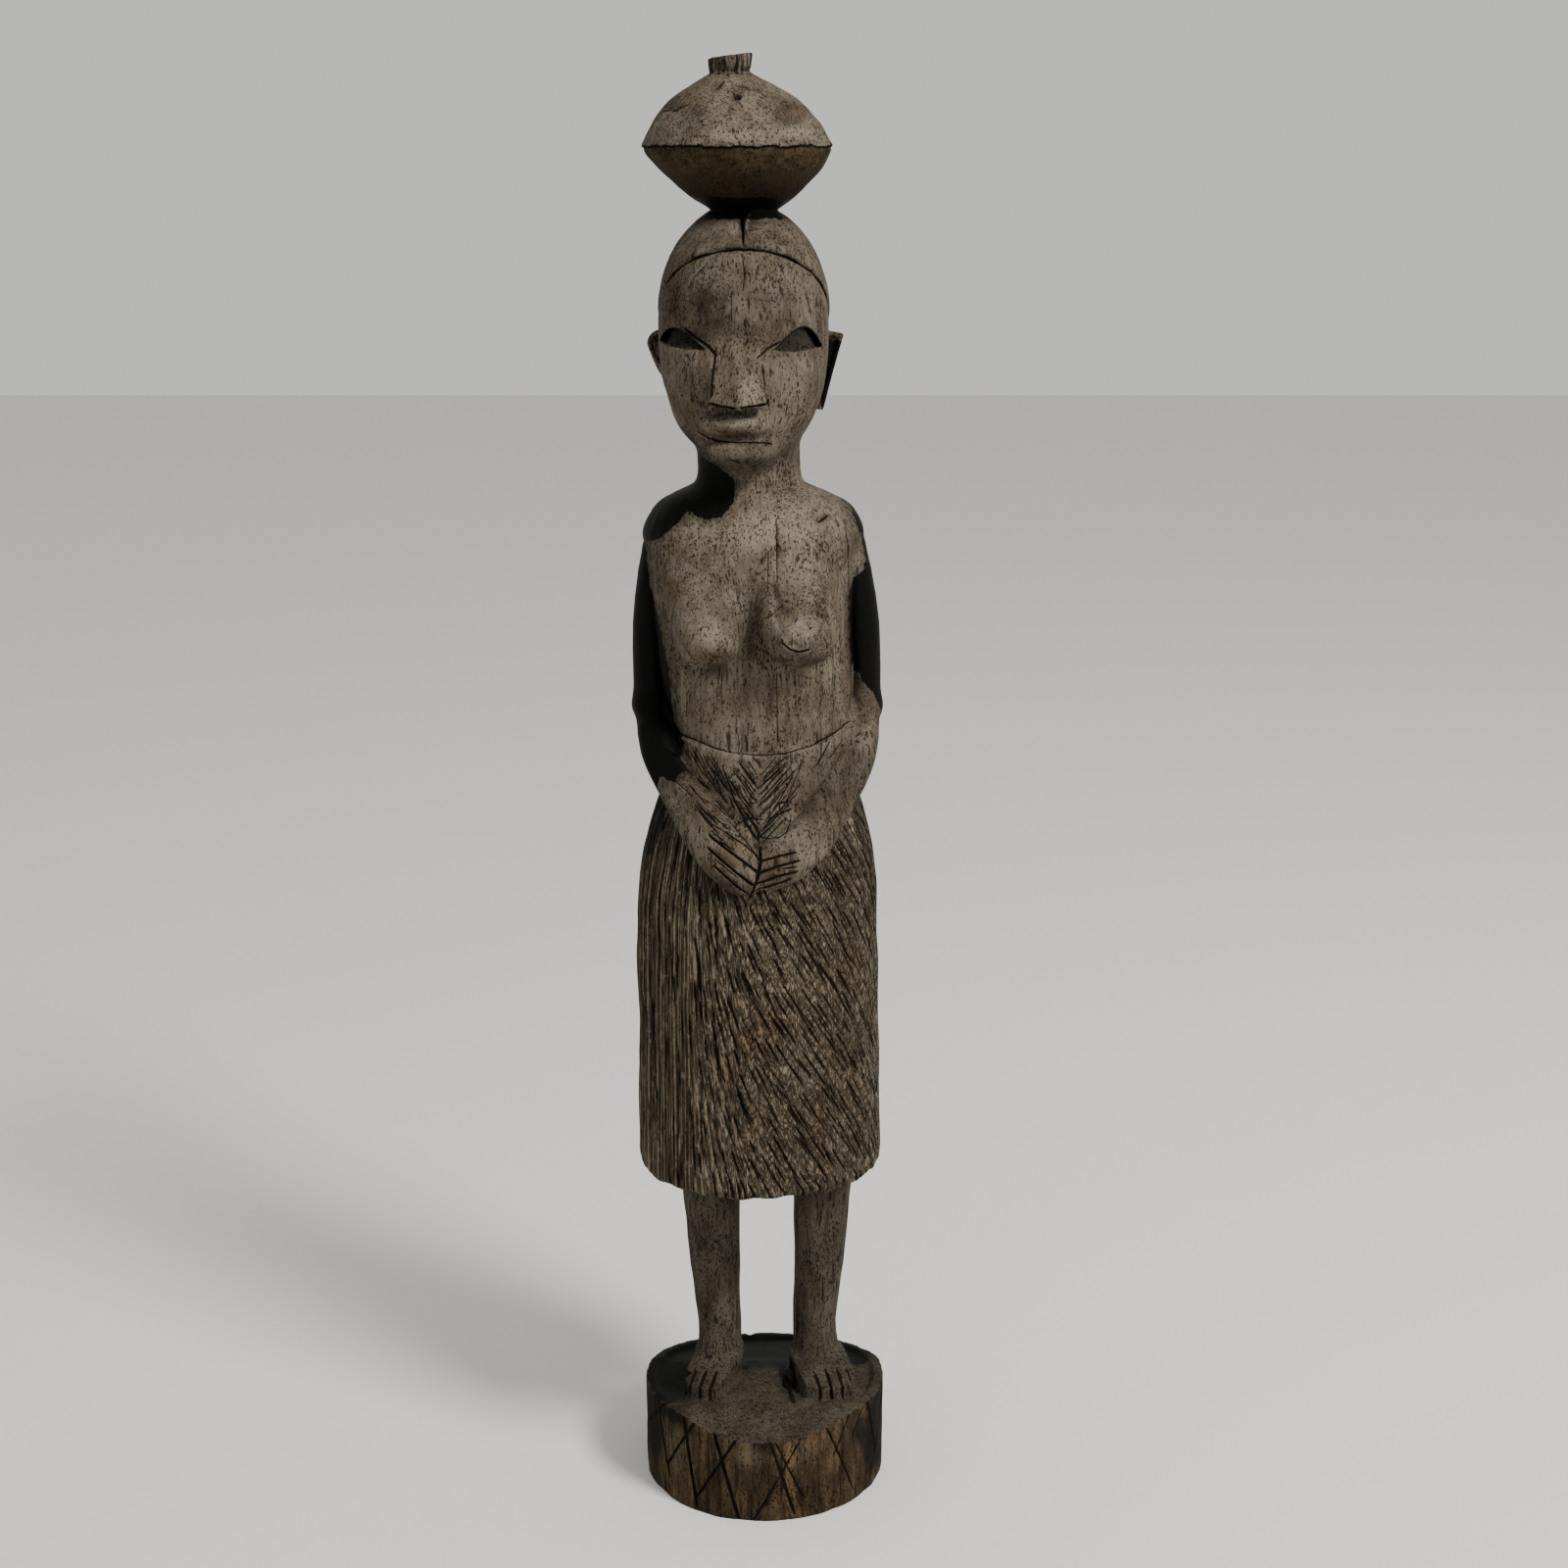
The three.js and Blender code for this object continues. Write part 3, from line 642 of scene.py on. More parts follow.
def skirt_ring(angle, z, inward):
    """One level ring of the skirt. It dives under the wood where the lap and the waist are plain."""
    middle, wide = curve_through(SKIRT, 1, z), curve_through(SKIRT, 2, z)
    deep = np.where(np.cos(angle) > 0, curve_through(SKIRT, 3, z), curve_through(SKIRT, 4, z))
    x, y = middle + wide * np.sin(angle), -deep * np.cos(angle)
    tucked = 1.6 * np.maximum(lap(x, y, z), ramp(z, 266, 271))
    swell = 0.45 * rough(x, y, z, (9.0, 9.0, 16.0), 14) + 0.2 * rough(x, y, z, (3.0, 3.0, 9.0), 15)
    less = 1 - (inward + tucked - swell) / wide
    return np.stack([middle + wide * np.sin(angle) * less, y * less, z], axis=-1)


def hem_line(angle):
    """The height of the wavy hem, with its three notches."""
    wave = 0.5 * np.sin(3 * angle + 1) + 0.35 * np.sin(7 * angle) + 0.3 * np.sin(23 * angle + 2)
    for notch, width, high in ((0.44, 0.03, 1.6), (1.15, 0.035, 2.4), (-1.2, 0.03, 1.2)):
        wave = wave + high * bell(angle, notch, width)
    return HEM - 0.2 + wave


def skirt_solid(depth):
    """The skirt as a closed solid of level rings, with the strokes cut into its side."""
    columns = depth.shape[1]
    angle = 2 * np.pi * np.arange(columns) / columns - np.pi
    rings = [skirt_ring(angle, np.full(columns, z), depth[row]) for row, z in enumerate(STROKE_HEIGHTS)]
    bottom = hem_line(angle)
    for inward, up in ((0.15, 1.5), (0.6, 0.6), (1.6, 0.05), (4.5, 0.1)):
        rings.append(skirt_ring(angle, bottom + up, depth[-1] * (1 - inward / 4.5) + inward))
    points = np.concatenate(rings)
    index = np.arange(len(points)).reshape(len(rings), columns)
    right = np.roll(index, -1, axis=1)
    sides = np.stack([index[:-1], index[1:], right[1:], right[:-1]], axis=-1).reshape(-1, 4)
    top, under = len(points), len(points) + 1
    points = np.vstack([points, [(-1.5, 0, STROKE_HEIGHTS[0])], [(-2.2, 0, HEM + 1)]])
    fan_top = np.stack([index[0], right[0], np.full(columns, top)], axis=-1)
    fan_under = np.stack([right[-1], index[-1], np.full(columns, under)], axis=-1)
    triangles = np.concatenate([sides[:, [0, 1, 2]], sides[:, [0, 2, 3]], fan_top, fan_under])
    return mesh_object("skirt", points, triangles)


# Knife cuts on the front: the width of each, and the x, z points that it passes.
# First the fingers, then nose, mouth and brows, then the waist, splits and scratches.
FINGER_LINES = [
    (1.3, [(-2.0, 250.6), (-1.0, 244.5), (-2.2, 238), (-4.6, 230.5)]),
    (0.8, [(-12.6, 252.2), (-7, 248.8), (-1.8, 244.2)]),
    (1.2, [(-17.8, 250.8), (-9.6, 245.2), (-2.0, 239.6)]),
    (1.2, [(-18.4, 246.8), (-10.8, 240.8), (-3.8, 235.4)]),
    (1.1, [(-16.2, 241.0), (-10.6, 236.2), (-5.6, 232.1)]),
    (0.5, [(-15.4, 249.6), (-10.4, 247.2)]),
    (0.5, [(-15.6, 243.0), (-9.4, 238.4)]),
    (1.1, [(9.8, 245.8), (4.4, 245), (-0.9, 243.4)]),
    (1.1, [(11, 243), (4, 241.6), (-1.4, 239.5)]),
    (1.1, [(10.4, 239.4), (4, 238.2), (-2.2, 235.8)]),
    (1.1, [(8.2, 236.8), (2, 235), (-3.8, 232.6)]),
    (0.5, [(6.4, 240.8), (10.2, 241)]),
    (0.6, [(-1.4, 250.2), (2.6, 249.6), (7, 251.6), (8.6, 255)]),
    (0.6, [(-8.6, 254.4), (-4.8, 256.4), (-1.2, 255.8)]),
    (0.6, [(1.0, 255.2), (5.4, 257.8), (8.8, 258.8)]),
    (0.6, [(5.4, 257.8), (4.8, 260.8), (8, 261.2)]),
    (0.6, [(-9.8, 253.4), (-5.2, 248.4), (-1.6, 243.4)]),
]
FACE_LINES = [
    (0.9, [(-15.2, 408.6), (-15.7, 404), (-16.4, 398.8), (-16.7, 393.7), (-17.4, 391.4)]),
    (0.7, [(-0.3, 403.6), (0.2, 399), (0.9, 393.7), (1.4, 391.6)]),
    # The black line under the nose lies where its shadow falls: painted shadow.
    (1.2, [(-16.6, 392.3), (-12, 391.3), (-8, 391.1), (-3.5, 391.6), (0.8, 392.2)]),
    (0.8, [(4.6, 410.8), (1.4, 409.2), (-1.4, 406.7)]),
    # The black line along the left eye's upper lid lies where the brow's shadow falls: painted shadow.
    (1.3, [(-24.6, 414.6), (-21.4, 412.2), (-18.2, 410.2), (-15.4, 407.4)]),
    (0.8, [(-20.6, 381.6), (-19, 380.6), (-16.4, 379.9), (-9.8, 379.6), (-5.6, 379.3),
           (-2.4, 379.6), (2.3, 378.5)]),
    (0.45, [(-20.8, 379.8), (-17.2, 373.9), (-13, 370.8)]),
    (0.4, [(-6.6, 440), (-6.5, 436), (-5.9, 432), (-6.4, 428)]),
    (0.6, [(-28.6, 426), (-28.2, 423.4)]),
    (0.5, [(-27.6, 421.6), (-29.4, 420)]),
    (0.5, [(-22, 431), (-20.6, 433), (-18.8, 434.4)]),
    (0.3, [(-10.2, 426), (-10.1, 418)]),
    (0.8, [(-10.2, 374.2), (-7.6, 373.1)]),
]
BODY_LINES = [
    (0.7, [(-28.7, 280.6), (-22.3, 279.6), (-16.5, 277.8), (-10.7, 276.8), (-1.4, 276.3),
           (6.7, 276.8)]),
    (0.7, [(6.7, 276.8), (14.9, 278.4), (21.8, 280.8), (28.2, 283.8)]),
    (0.3, [(3.9, 353), (4.0, 346), (4.2, 334)]),
    (0.3, [(1.2, 343), (1.3, 338), (1.1, 332)]),
    (0.3, [(4.1, 303), (4.2, 290), (4.3, 277)]),
    (0.8, [(6.0, 316.4), (8.4, 314.4), (11.6, 313.6), (14.4, 314.4)]),
    (0.5, [(-1.0, 321.8), (3.4, 325), (7.4, 328.6)]),
    (0.7, [(-6.6, 325.6), (-3.6, 325.9), (-1.0, 325.1)]),
    (0.5, [(-5.6, 324), (-2, 323.9)]),
    (0.8, [(18.2, 352.4), (20.6, 353.8)]),
    (0.4, [(26.4, 352), (27.6, 343), (27.9, 336), (28.1, 322), (28.8, 305), (29.4, 290)]),
    (0.6, [(-31.5, 481.8), (-27.2, 482.0), (-23.7, 483.7)]),
    (0.4, [(-9, 489.6), (-4.6, 488.6)]),
    (0.5, [(-14.5, 488.6), (-13.2, 490.2)]),
]
# Knife lines on the base's front: angle and height at the top, angle and height at the foot, width.
BASE_LINES = (
    (-61.3, 35.5, -51.9, 9, 1.7),
    (-41.5, 35.5, -33.6, 3, 2.0),
    (-23.7, 32.4, -11.8, 0, 1.8),
    (2.6, 32, 14.1, 3, 1.4),
    (5.0, 31.6, 17.6, 10, 0.9),
    (31, 33, 46.3, 6, 0.9),
    (58.4, 37, 66.8, 12, 1.5),
    (-54.3, 36.5, -81.2, 17, 1.5),
    (-34.8, 34.4, -52.6, 13, 1.5),
    (-12, 33, -33.4, 5.6, 1.4),
    (18.3, 33, -5.2, 0, 0.9),
    (44.5, 35.5, 34.9, 22, 0.9),
    (53.4, 34, 46.7, 26, 0.9),
)


def lap_lines():
    """The scored chevrons over the lap, and the longer strokes beside the forearms."""
    rng = np.random.default_rng(5)
    lines = []
    for i in range(22):
        z = 273.0 - 1.15 * i
        for side, tilt, least, most in ((1, 0.76, 7, 15), (-1, 0.92, 4, 12)):
            x = -1.6 + side * rng.uniform(-0.2, 2.5)
            length = rng.uniform(least, most) * min(1, 0.45 + 0.06 * i)
            slope = tilt + rng.uniform(-0.1, 0.12)
            lines.append((rng.uniform(0.3, 0.55), x, z, side * slope, length))
    for i in range(44):
        side = -1 if i % 5 else 1
        along = rng.uniform(3, 25)
        x, z = -1.5 + side * along, 252 + 0.9 * along + rng.uniform(-1.5, 5)
        lines.append((rng.uniform(0.3, 0.7), x, z, side * rng.uniform(0.85, 1.2), rng.uniform(5, 13)))
    kept = []
    for width, x, z, slope, length in lines:
        end = (x + math.copysign(length * math.cos(slope), slope), z + length * abs(math.sin(slope)))
        if end[1] < wrap_edge(end[0]) - 0.8:
            middle = ((x + end[0]) / 2 + rng.uniform(-0.4, 0.4), (z + end[1]) / 2)
            kept.append((width, [(x, z), middle, end]))
    return kept


def wrist_lines():
    """Splits and scratches over the worn forearm."""
    rng = np.random.default_rng(6)
    lines = []
    for _ in range(26):
        x = rng.uniform(-34, -12)
        z = 238 - 1.06 * (x + 3) + rng.uniform(-1, 9)
        length = rng.uniform(2, 7)
        width, drop = rng.uniform(0.3, 0.6), rng.uniform(0.4, 0.9)
        lines.append((width, [(x, z), (x + length * 0.8, z - length * drop)]))
    return lines


def front_cuts(piece):
    """The lines on the front, laid on the skin of the piece: start, end and width of each stretch."""
    tree = BVHTree.FromObject(piece, bpy.context.evaluated_depsgraph_get())
    ahead, stretch = -0.2, 3
    rows = []
    for width, line in FINGER_LINES + FACE_LINES + BODY_LINES + lap_lines() + wrist_lines():
        line = np.array(line, float)
        steps = np.linalg.norm(np.diff(line, axis=0), axis=1)
        at = np.concatenate([[0], np.cumsum(steps)])
        fine = np.linspace(0, at[-1], max(2, int(at[-1] / stretch) + 1))
        places = []
        for x, z in zip(np.interp(fine, at, line[:, 0]), np.interp(fine, at, line[:, 1])):
            hit = tree.ray_cast((x * MM, ahead, z * MM), (0, 1, 0))[0]
            if hit is not None:
                places.append(np.array(hit) / MM)
        rows += [(a, b, width) for a, b in itertools.pairwise(places)]
    return rows


def base_cuts():
    """The crossing lines round the base: as in the photo in front, a plainer lattice behind."""
    lines = list(BASE_LINES)
    for k in range(10):
        turn = 78 + 21 * k
        lines += [(turn, 36, turn + 11, 2, 1.5), (turn + 3, 36, turn - 16, 5, 1.2)]
    rows = []
    for top, high, bottom, low, width in lines:
        t = np.linspace(0, 1, 5)[:, None]
        angles = np.radians(mix(top, bottom, t))
        x, y = BASE_X + BASE_R * np.sin(angles), -BASE_R * np.cos(angles)
        places = np.hstack([x, y, mix(high, low, t)])
        rows += [(a, b, width) for a, b in itertools.pairwise(places)]
    return rows


def toe_cuts():
    """The slits between the toes, and the split in the base beside one foot."""
    slit = ((-7.2, 42.6), (-FOOT_REACH + 0.2, 39.5), (-FOOT_REACH - 0.1, 35.2))
    rows = []
    for place, _, turn, gaps in FEET:
        c, s = math.cos(turn), math.sin(turn)
        for gap in gaps:
            line = [np.array((place + gap * c - v * s, FOOT_Y + v * c + gap * s, z)) for v, z in slit]
            rows += [(line[0], line[1], 1.5), (line[1], line[2], 1.4)]
    rows.append((np.array((7.2, -3.0, 37.4)), np.array((9.6, -21.0, 35.6)), 3.0))
    return rows


# A blade against the width and length of its cut, and how far it runs on past the end.
BLADE_WIDTH, BLADE_LENGTH, BLADE_END = 0.55, 0.62, 0.7
CLEARANCE, SMALLEST_SET = 1.6, 4


def knife_tree(dark):
    """Puts one thin pointed blade on every point, turned and sized by the point's own attributes."""
    tree = bpy.data.node_groups.new("knife cuts", "GeometryNodeTree")
    tree.interface.new_socket("Geometry", in_out="INPUT", socket_type="NodeSocketGeometry")
    for name, value in (("Width", 1.0), ("Length", 1.0)):
        socket = tree.interface.new_socket(name, in_out="INPUT", socket_type="NodeSocketFloat")
        socket.default_value = value
    tree.interface.new_socket("Geometry", in_out="OUTPUT", socket_type="NodeSocketGeometry")
    add, link = tree.nodes.new, tree.links.new
    start, end = add("NodeGroupInput"), add("NodeGroupOutput")
    blade = add("GeometryNodeMeshUVSphere")
    blade.inputs["Segments"].default_value = 4
    blade.inputs["Rings"].default_value = 6
    blade.inputs["Radius"].default_value = 1.0
    reads = {}
    for name in ("direction", "size"):
        reads[name] = add("GeometryNodeInputNamedAttribute")
        reads[name].data_type = "FLOAT_VECTOR"
        reads[name].inputs["Name"].default_value = name
    turn = add("FunctionNodeAlignRotationToVector")
    turn.axis = "Z"
    link(reads["direction"].outputs["Attribute"], turn.inputs["Vector"])
    shape = add("ShaderNodeCombineXYZ")
    for socket, name in (("X", "Width"), ("Y", "Width"), ("Z", "Length")):
        link(start.outputs[name], shape.inputs[socket])
    scale = add("ShaderNodeVectorMath")
    scale.operation = "MULTIPLY"
    link(reads["size"].outputs["Attribute"], scale.inputs[0])
    link(shape.outputs["Vector"], scale.inputs[1])
    place = add("GeometryNodeInstanceOnPoints")
    link(start.outputs["Geometry"], place.inputs["Points"])
    link(blade.outputs["Mesh"], place.inputs["Instance"])
    link(turn.outputs["Rotation"], place.inputs["Rotation"])
    link(scale.outputs["Vector"], place.inputs["Scale"])
    real = add("GeometryNodeRealizeInstances")
    link(place.outputs["Instances"], real.inputs["Geometry"])
    paint = add("GeometryNodeSetMaterial")
    paint.inputs["Material"].default_value = dark
    link(real.outputs["Geometry"], paint.inputs["Geometry"])
    link(paint.outputs["Geometry"], end.inputs["Geometry"])
    return tree


def apart(rows):
    """Sorts the cuts into sets in which no two blades meet, so that each set can be cut out in one go.

    The few cuts that fit in no larger set are left out.
    """
    along = np.linspace(-0.2, 1.2, 8)[:, None]
    sets = []
    for a, b, width in rows:
        points = a + (b - a) * along
        for taken, members in sets:
            gap = np.linalg.norm(np.concatenate(taken)[None] - points[:, None], axis=2).min()
            if gap > CLEARANCE + width:
                break
        else:
            taken, members = [], []
            sets.append((taken, members))
        taken.append(points)
        members.append((a, b, width))
    return [members for _, members in sets if len(members) >= SMALLEST_SET]


def blades_of(rows, tree):
    """One set of blades as a plain mesh."""
    middles = np.array([(a + b) / 2 for a, b, _ in rows])
    steps = np.array([b - a for a, b, _ in rows])
    lengths = np.linalg.norm(steps, axis=1)
    widths = np.array([width for _, _, width in rows])
    mesh = bpy.data.meshes.new("knife cuts")
    mesh.from_pydata((middles * MM).tolist(), [], [])
    across, along = widths * BLADE_WIDTH, lengths * BLADE_LENGTH + BLADE_END
    sizes = np.stack([across, across, along], axis=1) * MM
    for name, rows_of in (("direction", steps / lengths[:, None]), ("size", sizes)):
        layer = mesh.attributes.new(name, "FLOAT_VECTOR", "POINT")
        layer.data.foreach_set("vector", rows_of.astype(np.float32).ravel())
    blades = bpy.data.objects.new("knife cuts", mesh)
    bpy.context.scene.collection.objects.link(blades)
    made = blades.modifiers.new("blades", "NODES")
    made.node_group = tree
    for item in tree.interface.items_tree:
        if item.item_type == "SOCKET" and item.in_out == "INPUT" and item.name in ("Width", "Length"):
            made[item.identifier] = 1.0
    return applied(blades)


def mesh_object(name, points, faces):
    """A new object. Its faces all have as many corners, and its points are in the carving's millimetres."""
    mesh = bpy.data.meshes.new(name)
    mesh.vertices.add(len(points))
    mesh.vertices.foreach_set("co", (np.asarray(points, np.float32) * MM).ravel())
    mesh.loops.add(faces.size)
    mesh.loops.foreach_set("vertex_index", faces.astype(np.int32).ravel())
    mesh.polygons.add(len(faces))
    mesh.polygons.foreach_set("loop_start", np.arange(0, faces.size, faces.shape[1], dtype=np.int32))
    mesh.update(calc_edges=True)
    mesh.validate()
    piece = bpy.data.objects.new(name, mesh)
    bpy.context.scene.collection.objects.link(piece)
    return piece


def applied(piece):
    """The object with its modifiers worked into its mesh."""
    graph = bpy.context.evaluated_depsgraph_get()
    done = bpy.data.meshes.new_from_object(piece.evaluated_get(graph))
    piece.modifiers.clear()
    piece.data = done
    return piece


def thinned(piece, triangles):
    """The object with no more than about so many triangles."""
    have = sum(len(p.vertices) - 2 for p in piece.data.polygons)
    if have > triangles:
        fewer = piece.modifiers.new("fewer", "DECIMATE")
        fewer.ratio = triangles / have
        applied(piece)
    return piece


def combined(piece, other, operation):
    """The first object joined with the second or cut by it. The second is used up."""
    step = piece.modifiers.new(operation.lower(), "BOOLEAN")
    step.operation, step.solver, step.object = operation, "MANIFOLD", other
    step.material_mode = "TRANSFER"
    applied(piece)
    bpy.data.objects.remove(other)
    return piece


def inside_outline(outline, x, z):
    """How far inside a closed line of x, z points a point is, seen from the front. Negative is outside."""
    ends = np.array(outline, float)
    away = np.full(x.shape, 1e9)
    inside = np.zeros(x.shape, bool)
    for (ax, az), (bx, bz) in zip(ends, np.roll(ends, -1, axis=0)):
        dx, dz = bx - ax, bz - az
        t = np.clip(((x - ax) * dx + (z - az) * dz) / (dx * dx + dz * dz + 1e-9), 0, 1)
        away = np.minimum(away, np.hypot(x - ax - t * dx, z - az - t * dz))
        crosses = ((az > z) != (bz > z)) & (x < ax + dx * (z - az) / (dz if abs(dz) > 1e-9 else 1e-9))
        inside ^= crosses
    return np.where(inside, away, -away)


# Where the old black polish is left, as outlines seen from the front.
NECK_POLISH = [
    (-26, 380), (-20.4, 374.9), (-17.5, 372.0), (-13.3, 369.1), (-10.1, 365.4), (-9.6, 361.5),
    (-10.7, 357.3), (-14.1, 354.2), (-18.4, 353.3), (-23.2, 354.6), (-25.1, 356.9), (-27.7, 352.4),
    (-32.1, 348.7), (-36, 345.3), (-60, 344), (-60, 380),
]
LEFT_ARM_POLISH = [
    (-60, 346), (-38.6, 345.6), (-39.4, 337.4), (-38.1, 329), (-36.0, 321.0), (-34.0, 312.1),
    (-31.6, 299.3), (-30.3, 284), (-26.6, 279), (-28.4, 274), (-25.6, 270), (-29, 268.4),
    (-31, 264.8), (-34.4, 267), (-37, 262), (-60, 260),
]
RIGHT_ARM_POLISH = [
    (60, 336.8), (33.6, 336.4), (32.7, 333.9), (29.9, 331.7), (28.2, 329.6), (28.0, 317.3),
    (29.3, 300.6), (32.1, 297.4), (34.6, 294.8), (36.6, 292.2), (38.8, 287.6), (41, 279), (60, 279),
]
RIGHT_SHOULDER_EDGE = [(27.5, 357), (31.2, 349), (33.4, 341), (34.4, 336), (60, 336), (60, 358)]
LEFT_HIP_POLISH = [(-60, 260), (-32.2, 256.6), (-34.6, 247.6), (-38.3, 238.8), (-42.4, 233), (-60, 232)]
RIGHT_HIP_POLISH = [
    (60, 262), (31.4, 257.6), (34.6, 247.6), (37.0, 238.4), (38.9, 226), (39.4, 212), (60, 210),
]
POLISH_OUTLINES = (
    NECK_POLISH, LEFT_ARM_POLISH, RIGHT_ARM_POLISH, RIGHT_SHOULDER_EDGE, LEFT_HIP_POLISH, RIGHT_HIP_POLISH,
)
BARE = -6.0


def spots(rows, x, y, z):
    """How strongly the soft round patches show at each point."""
    total = np.zeros(x.shape)
    for px, pz, a, c, strength in rows:
        total = np.maximum(total, strength * ramp(np.hypot((x - px) / a, (z - pz) / c), 1.2, 0.35))
    return total * (y < 2)


# Patches on the front, from the head down: x, z, half-width, half-height, strength.
# Some dark patches are painted shade and shadow; they are marked below.
DARK_SPOTS = [
    (-17.5, 423, 9, 8, 0.85), (-15, 418.5, 7, 3, 0.7), (-7, 415.5, 4, 3, 0.4),
    # (-24, 412.5) is painted shadow over the left eye.
    (-27, 422, 5, 7, 0.4), (-24, 412.5, 9, 3.0, 0.9), (4, 424, 10, 6, 0.4), (6, 418, 6, 3, 0.5),
    (-9, 395, 3.5, 3, 0.6), (-8.6, 382, 9, 1.5, 0.7), (-11, 371.5, 7, 3, 0.5),
    (-19.5, 394, 2.5, 6, 0.5), (-21, 381, 3, 3, 0.6), (-24, 385, 2.5, 6, 0.5), (12, 385, 3, 6, 0.3),
    (-24, 396, 3, 8, 0.3), (16, 396, 3, 8, 0.25), (8.5, 481.5, 6.5, 4.6, 0.95),
    (3, 485, 5, 2.4, 0.6), (-8.2, 486, 1.8, 1.8, 0.9), (-21, 481.5, 4, 3, 0.65),
    (-14.5, 489.6, 3, 1.4, 0.6), (-4, 488.8, 5, 1.4, 0.5), (-30, 484, 6, 2.5, 0.6),
    (20, 476, 4, 5, 0.5), (-4, 325.3, 3.4, 1.6, 0.8), (20, 353.6, 3, 1.5, 0.8),
    # (-14.5, 309), (-15.6, 303.6), (11.6, 309.8) and (-18, 305) are painted shade under the breasts.
    (1.2, 331.5, 3, 2.5, 0.45), (-14.5, 309, 6, 4.5, 0.85), (-15.6, 303.6, 6, 2.8, 0.8),
    (17, 325, 2.5, 3, 0.4), (11.6, 309.8, 13, 4.4, 0.85), (-3.5, 316, 4, 9, 0.55),
    (-18, 305, 10, 2.6, 0.6), (33, 288, 4, 6, 0.75), (31.8, 297, 2.4, 8, 0.8),
    (14, 291, 5, 4, 0.45), (30, 275, 3, 5, 0.55), (28.4, 310, 1.4, 30, 0.7), (-30, 300, 2, 22, 0.6),
    (-17.7, 257.4, 3.8, 2.4, 0.9), (-21.5, 259.4, 3, 1.8, 0.8), (-30, 273, 6, 4, 0.85),
    (-26, 268, 5, 3, 0.8), (-15, 264, 9, 7, 0.75), (-8, 257, 6, 5, 0.6), (-1, 250, 3, 8, 0.6),
    (-14.5, 243, 4, 4, 0.4), (16, 258, 4, 4, 0.55), (21, 264, 3, 4, 0.5), (4, 253, 6, 3, 0.5),
    (3, 238, 8, 5, 0.5), (-8, 236, 7, 5, 0.45), (28.8, 235.1, 1.8, 1.8, 1.0),
    # (5.0, 229) and (-7, 230) are painted shadow under the hands.
    (25.3, 228.4, 1.4, 1.8, 0.9), (5.0, 229, 12, 4, 0.6), (-16, 234, 12, 8, 0.85),
    (17.2, 239.3, 4, 3, 0.6), (-30, 245, 6, 10, 0.5), (-7, 230, 10, 3, 0.7),
    (-23.2, 197.6, 5, 6, 0.7), (-20.4, 177.0, 6, 6, 0.75), (7.9, 182.7, 4, 3, 0.6),
    (5.6, 161.2, 6, 7, 0.6), (-26.3, 140, 2, 22, 0.8), (-27.0, 172.0, 2, 18, 0.6),
    (12.6, 209, 5, 4, 0.5), (20, 160, 4, 7, 0.5), (15, 142, 10, 5, 0.5), (-40, 200, 6, 50, 0.4),
    (-18, 114, 10, 12, 0.5), (-23, 92, 5, 8, 0.5), (26, 100, 4, 24, 0.4), (-22, 66, 4, 14, 0.4),
    (13, 60, 3, 20, 0.6), (15, 84, 3, 14, 0.5), (-14, 52, 6, 6, 0.4), (-41, 22, 5, 16, 0.95),
    (-35, 34, 9, 3.5, 0.9), (-26, 31, 6, 3, 0.5), (40, 20, 7, 20, 1.0), (34, 26, 3, 8, 0.7),
    (-2, 30.5, 5, 1.6, 0.5), (22, 12, 10, 6, 0.4),
]
BROWN_SPOTS = [
    (-2.7, 180.8, 7, 9, 0.8), (2.0, 187, 5, 5, 0.8), (-11.0, 168.2, 4, 5, 0.6),
    (4.4, 203.2, 4, 3, 0.5), (19.2, 148, 3, 13, 0.9), (19.0, 135.0, 4, 5, 0.7),
    (28.4, 203, 6, 8, 0.6), (-26, 150, 6, 12, 0.3), (-33, 176, 3, 14, 0.4),
    (-28.5, 425, 3.5, 6, 0.8), (-5.2, 431, 2.5, 2.5, 0.7), (-12, 404, 3, 10, 0.6),
    (-9, 382.4, 8, 1.8, 0.8), (-22, 392, 4, 9, 0.5), (-30, 331, 3.5, 5, 0.7), (-16, 310, 6, 4, 0.6),
    (-13, 395, 5, 4, 0.5), (5, 469, 16, 2.2, 0.7), (-15, 468, 10, 2.4, 0.6), (-30, 392, 4, 8, 0.4),
    (-14, 243, 9, 8, 0.6), (3, 241, 8, 6, 0.6), (-20, 262, 12, 8, 0.4), (14, 262, 10, 8, 0.35),
    (8, 482, 6, 4, 0.6), (8.6, 24, 2.0, 10, 1.0), (8.0, 12, 1.6, 8, 0.6), (-20, 290, 12, 8, 0.3),
    (2, 295, 16, 10, 0.25),
]
PALE_SPOTS = [
    (12, 320.5, 7, 5, 0.8), (-9.4, 447, 1.8, 4, 0.8), (-5.0, 447, 0.7, 3, 0.8),
    (-2.4, 453.8, 1.7, 0.7, 1.0), (18.8, 473, 2.6, 4, 0.5), (-4.4, 397, 3.6, 6, 0.7),
    (-9, 386.4, 8, 2.0, 0.8), (-17, 319, 4.5, 6, 0.7), (12, 475, 9, 2.2, 0.7),
    (-8, 474.6, 12, 1.8, 0.7), (16, 245, 7, 5, 0.4), (-20, 248, 6, 6, 0.4), (1, 350, 18, 7, 0.5),
    # (-11, 276) and (14, 278) are a painted highlight along the lower side of the waist's edge.
    (8, 338, 12, 5, 0.45), (8, 400, 8, 8, 0.35), (-13, 240, 6, 3, 0.4), (-11, 276, 14, 1.2, 0.5),
    (14, 278, 14, 1.4, 0.5), (-5.6, 26, 6.5, 5, 0.55), (-32, 20, 3, 10, 0.4), (14, 27, 8, 4, 0.3),
    (-30, 410, 5, 5, 0.2), (-12, 128, 12, 4, 0.4), (24, 240, 6, 5, 0.25),
]


